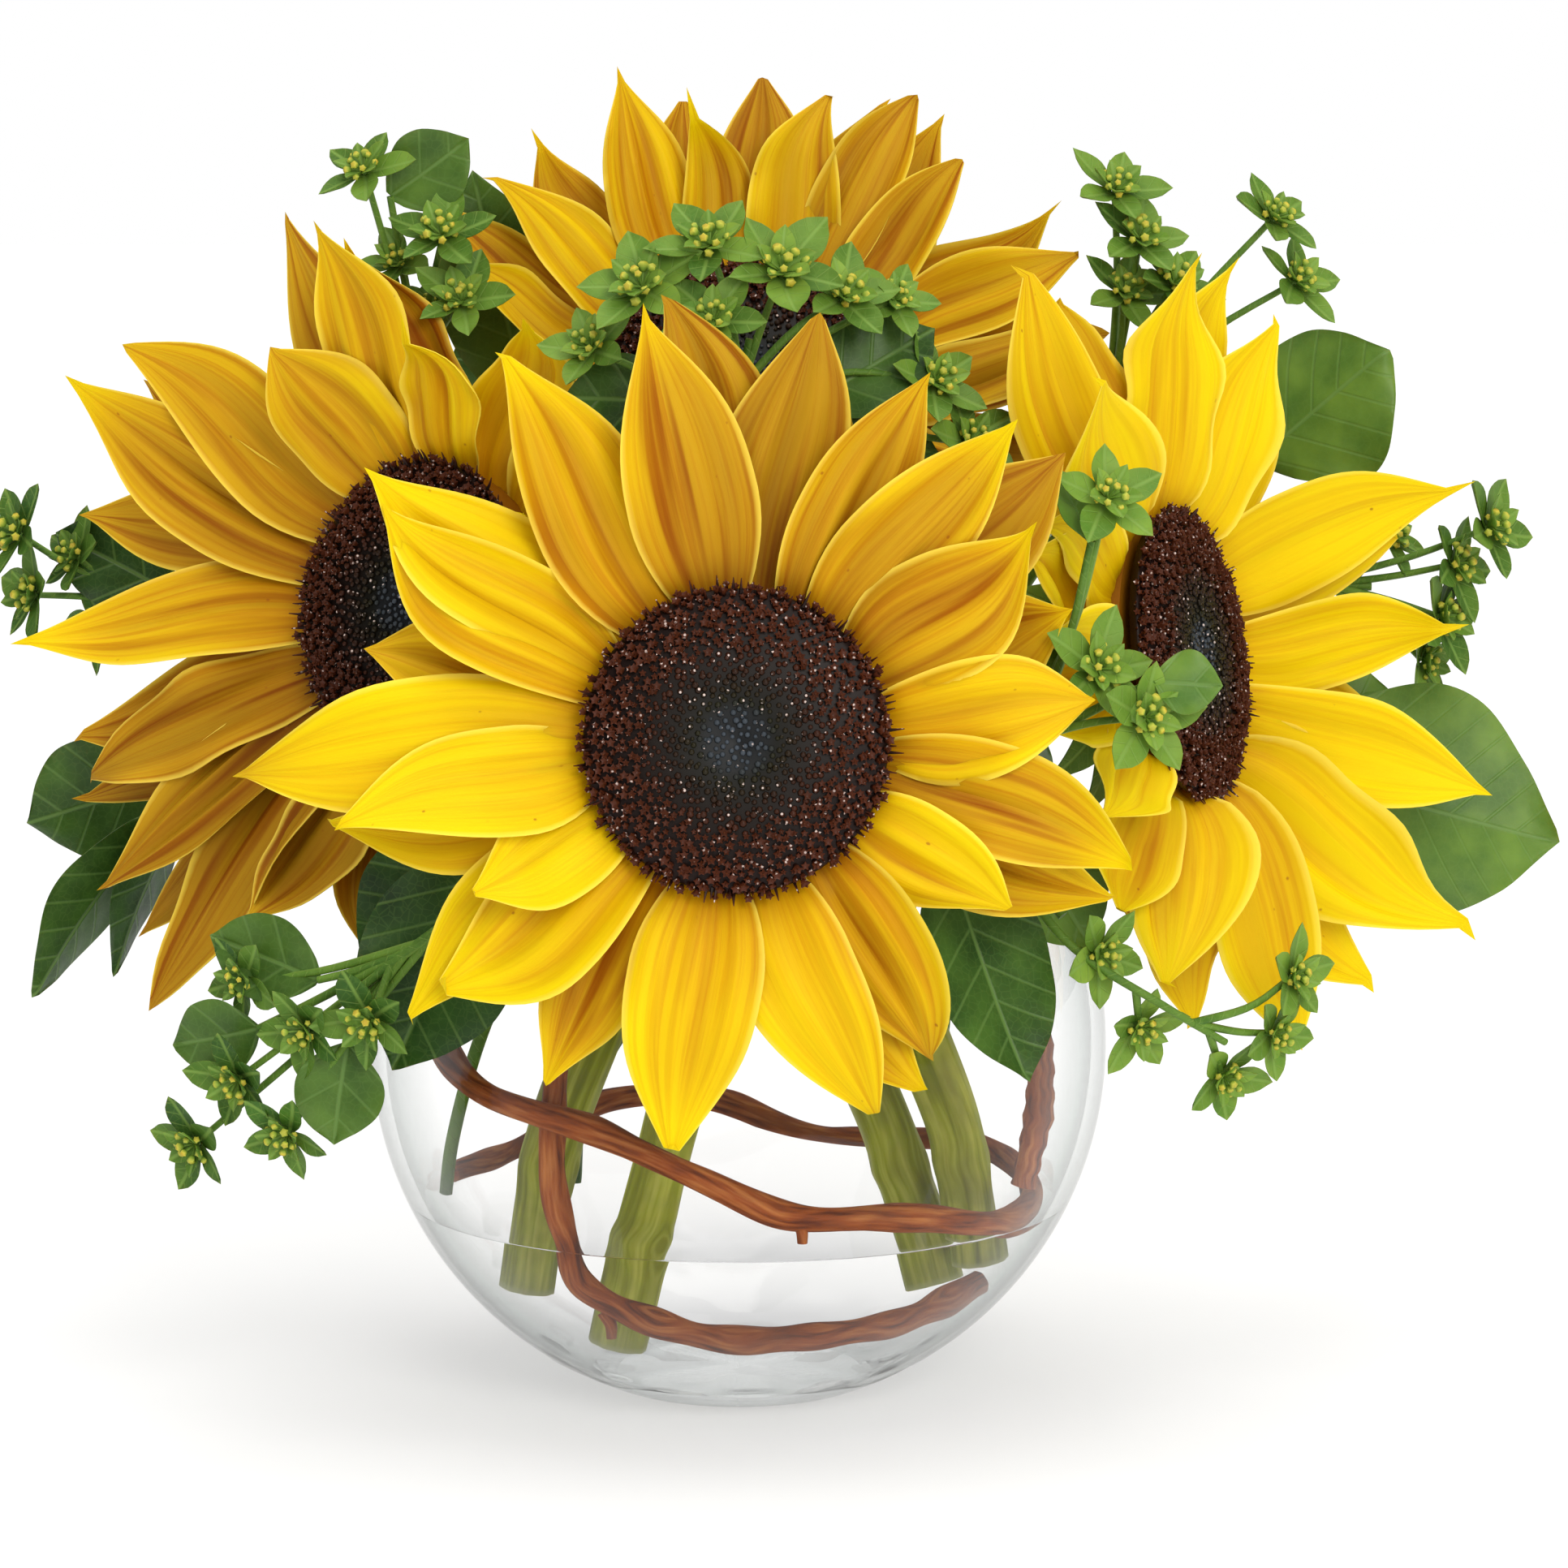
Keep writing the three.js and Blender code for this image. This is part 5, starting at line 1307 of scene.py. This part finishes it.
def water_skins():
    bottom = BOWL_FLOOR - 0.1
    heights = np.linspace(5.6, WATER_LEVEL + 0.6, 30)
    sides = [(sphere_radius(BOWL_INNER + WATER_OVERLAP, z), z) for z in heights]
    edge = sides[-1][0]
    foot = [(8, bottom), (20, bottom), (28.6, bottom + 0.1), (29.9, 4.9)]
    top = [(edge - 0.5, WATER_LEVEL + 0.32), (edge - 1.2, WATER_LEVEL + 0.12), (edge - 2.4, WATER_LEVEL),
           (40, WATER_LEVEL), (20, WATER_LEVEL), (6, WATER_LEVEL)]
    return [lathe(foot + sides + top, TURNED_SIDES, bottom, WATER_LEVEL)]


print("water stands", WATER_LEVEL, "mm up the bowl")

# %% Glass and water finishes
# Soda-lime glass has an index of 1.52. A little less is used here, 1.45, with dim highlights, so that the
# inside of the bowl stays as clear as it is against a white sweep. Its grey-green tint darkens where the eye
# looks along the wall: a slanting ray does cross more glass, but the tint goes much darker than that, to near
# black at the very edge, as a painted dark edge that stands for the dark surroundings seen in the wall.
# Real water has 1.33. It hardly bends the stems when it is seen from the front, so its index is kept low.
glass, tree, shader = new_finish("soda_lime_glass_clear", Roughness=0.0, IOR=1.45, Specular_IOR_Level=0.3,
                                 Specular_Tint="#666666", Transmission_Weight=1.0)
# Painted dark edge: the tint runs to near black where the wall is seen edge-on.
slant = add(tree, "LayerWeight", inputs={"Blend": 0.5})
tint_and_dark_edge = add(tree, "ValToRGB", inputs=(slant.outputs["Facing"],),
           stops=[(0.45, "#ffffff"), (0.74, "#c8cdcb"), (0.9, "#6c7270"), (1.0, "#3c4240")])
feed(shader, {"Base Color": tint_and_dark_edge})
water = new_finish("water_clear", Roughness=0.0, IOR=1.025, Specular_IOR_Level=0.2, Transmission_Weight=1.0,
                   Base_Color="#ffffff")[0]
print("finishes:", glass.name, "and", water.name)

# %% Make the bowl and the water
make_piece("glass_bubble_bowl", bowl_skins(), ["bowl"], [glass])
make_piece("water_in_bowl", water_skins(), ["water"], [water])

# %% [markdown]
# ## Floor, light and camera
# The bouquet stands on a pale table that is lit a little from below, as for pictures on white, in soft, even
# studio light from above and some from the front right. A wide floor and a bright, plain sky stand for the
# white sweep of a photographer's table.

# %% Floor
FLOOR_HALF = 6.0
mesh = bpy.data.meshes.new("studio_floor")
corners = [(-1, -1), (1, -1), (1, 1), (-1, 1)]
mesh.from_pydata([(x * FLOOR_HALF, y * FLOOR_HALF, 0) for x, y in corners], [], [(0, 1, 2, 3)])
floor = bpy.data.objects.new("studio_floor", mesh)
bpy.context.scene.collection.objects.link(floor)
table, tree, shader = new_finish("studio_table_backlit_white", Roughness=1.0, Specular_IOR_Level=0.0,
                                 Emission_Strength=0.44, Emission_Color="#ffffff")
mottle = add(tree, "TexNoise", inputs={"Scale": 3.0, "Detail": 2.0})
white = add(tree, "ValToRGB", inputs=(mottle,), stops=[(0.3, "#c4c4c4"), (0.7, "#c8c8c8")])
feed(shader, {"Base Color": white})
mesh.materials.append(table)
print("floor is", 2 * FLOOR_HALF, "m wide")

# %% Sky
# The sky lights the bouquet at three quarters of full white, but is seen as pure white paper, also through
# the glass. Black cards round the table keep most of it out of the reflections, as they do for glassware.
SKY_LIGHT = 0.74
SKY_MIRRORED = 0.1
world = bpy.data.worlds.new("studio_sky")
bpy.context.scene.world = world
world.use_nodes = True
sky = world.node_tree
sky.nodes.clear()
seen = add(sky, "LightPath").outputs
plain = add(sky, "Math", {"operation": "MAXIMUM"}, (seen["Is Camera Ray"], seen["Is Transmission Ray"]))
carded = add(sky, "MapRange", inputs=(seen["Is Glossy Ray"], 0.0, 1.0, SKY_LIGHT, SKY_MIRRORED))
level = add(sky, "MapRange", inputs=(plain, 0.0, 1.0, carded, 1.0))
glow = add(sky, "Background", inputs={"Color": "#ffffff", "Strength": level})
add(sky, "OutputWorld", inputs={"Surface": glow})
print("sky lights at", SKY_LIGHT)

# %% Lamps
# A wide sun stands for a far softbox overhead, which lights the whole floor evenly. The key is a near one.
KEY_PLACE = np.array((0.5, -1.5, 0.8))
KEY_TARGET = np.array((0, 0, 0.12))


def lamp(name, kind, way, energy, colour, **settings):
    light = bpy.data.lights.new(name, kind)
    light.energy = energy
    light.color = linear(colour)[:3]
    for setting, value in settings.items():
        setattr(light, setting, value)
    holder = bpy.data.objects.new(name, light)
    holder.rotation_euler = Vector(way).to_track_quat("-Z", "Y").to_euler()
    bpy.context.scene.collection.objects.link(holder)
    print(name, "has an energy of", energy)
    return holder


lamp("high_softbox", "SUN", (-0.05, 0.06, -1.0), 1.25, "#fffdf8", angle=math.radians(46))
key = lamp("key_softbox", "AREA", KEY_TARGET - KEY_PLACE, 14.0, "#fffcf6", size=0.7)
key.location = KEY_PLACE

# %% Camera
# The eye is 1.1 m in front of the bouquet and 8 degrees up, and the picture is square.
TARGET = (0.0094, 0.0, 0.125)
DISTANCE = 1.1
ELEVATION = math.radians(8)
SENSOR = 36.0
VIEW_WIDTH = 0.3226
eye = bpy.data.cameras.new("camera")
eye.sensor_width = SENSOR
eye.lens = SENSOR * DISTANCE / VIEW_WIDTH
camera = bpy.data.objects.new("camera", eye)
offset = (0, -DISTANCE * math.cos(ELEVATION), DISTANCE * math.sin(ELEVATION))
camera.location = [a + b for a, b in zip(TARGET, offset)]
camera.rotation_euler = (math.pi / 2 - ELEVATION, 0, 0)
bpy.context.scene.collection.objects.link(camera)
bpy.context.scene.camera = camera
bpy.context.scene.view_settings.view_transform = "Standard"
print("lens:", round(eye.lens, 1), "mm")
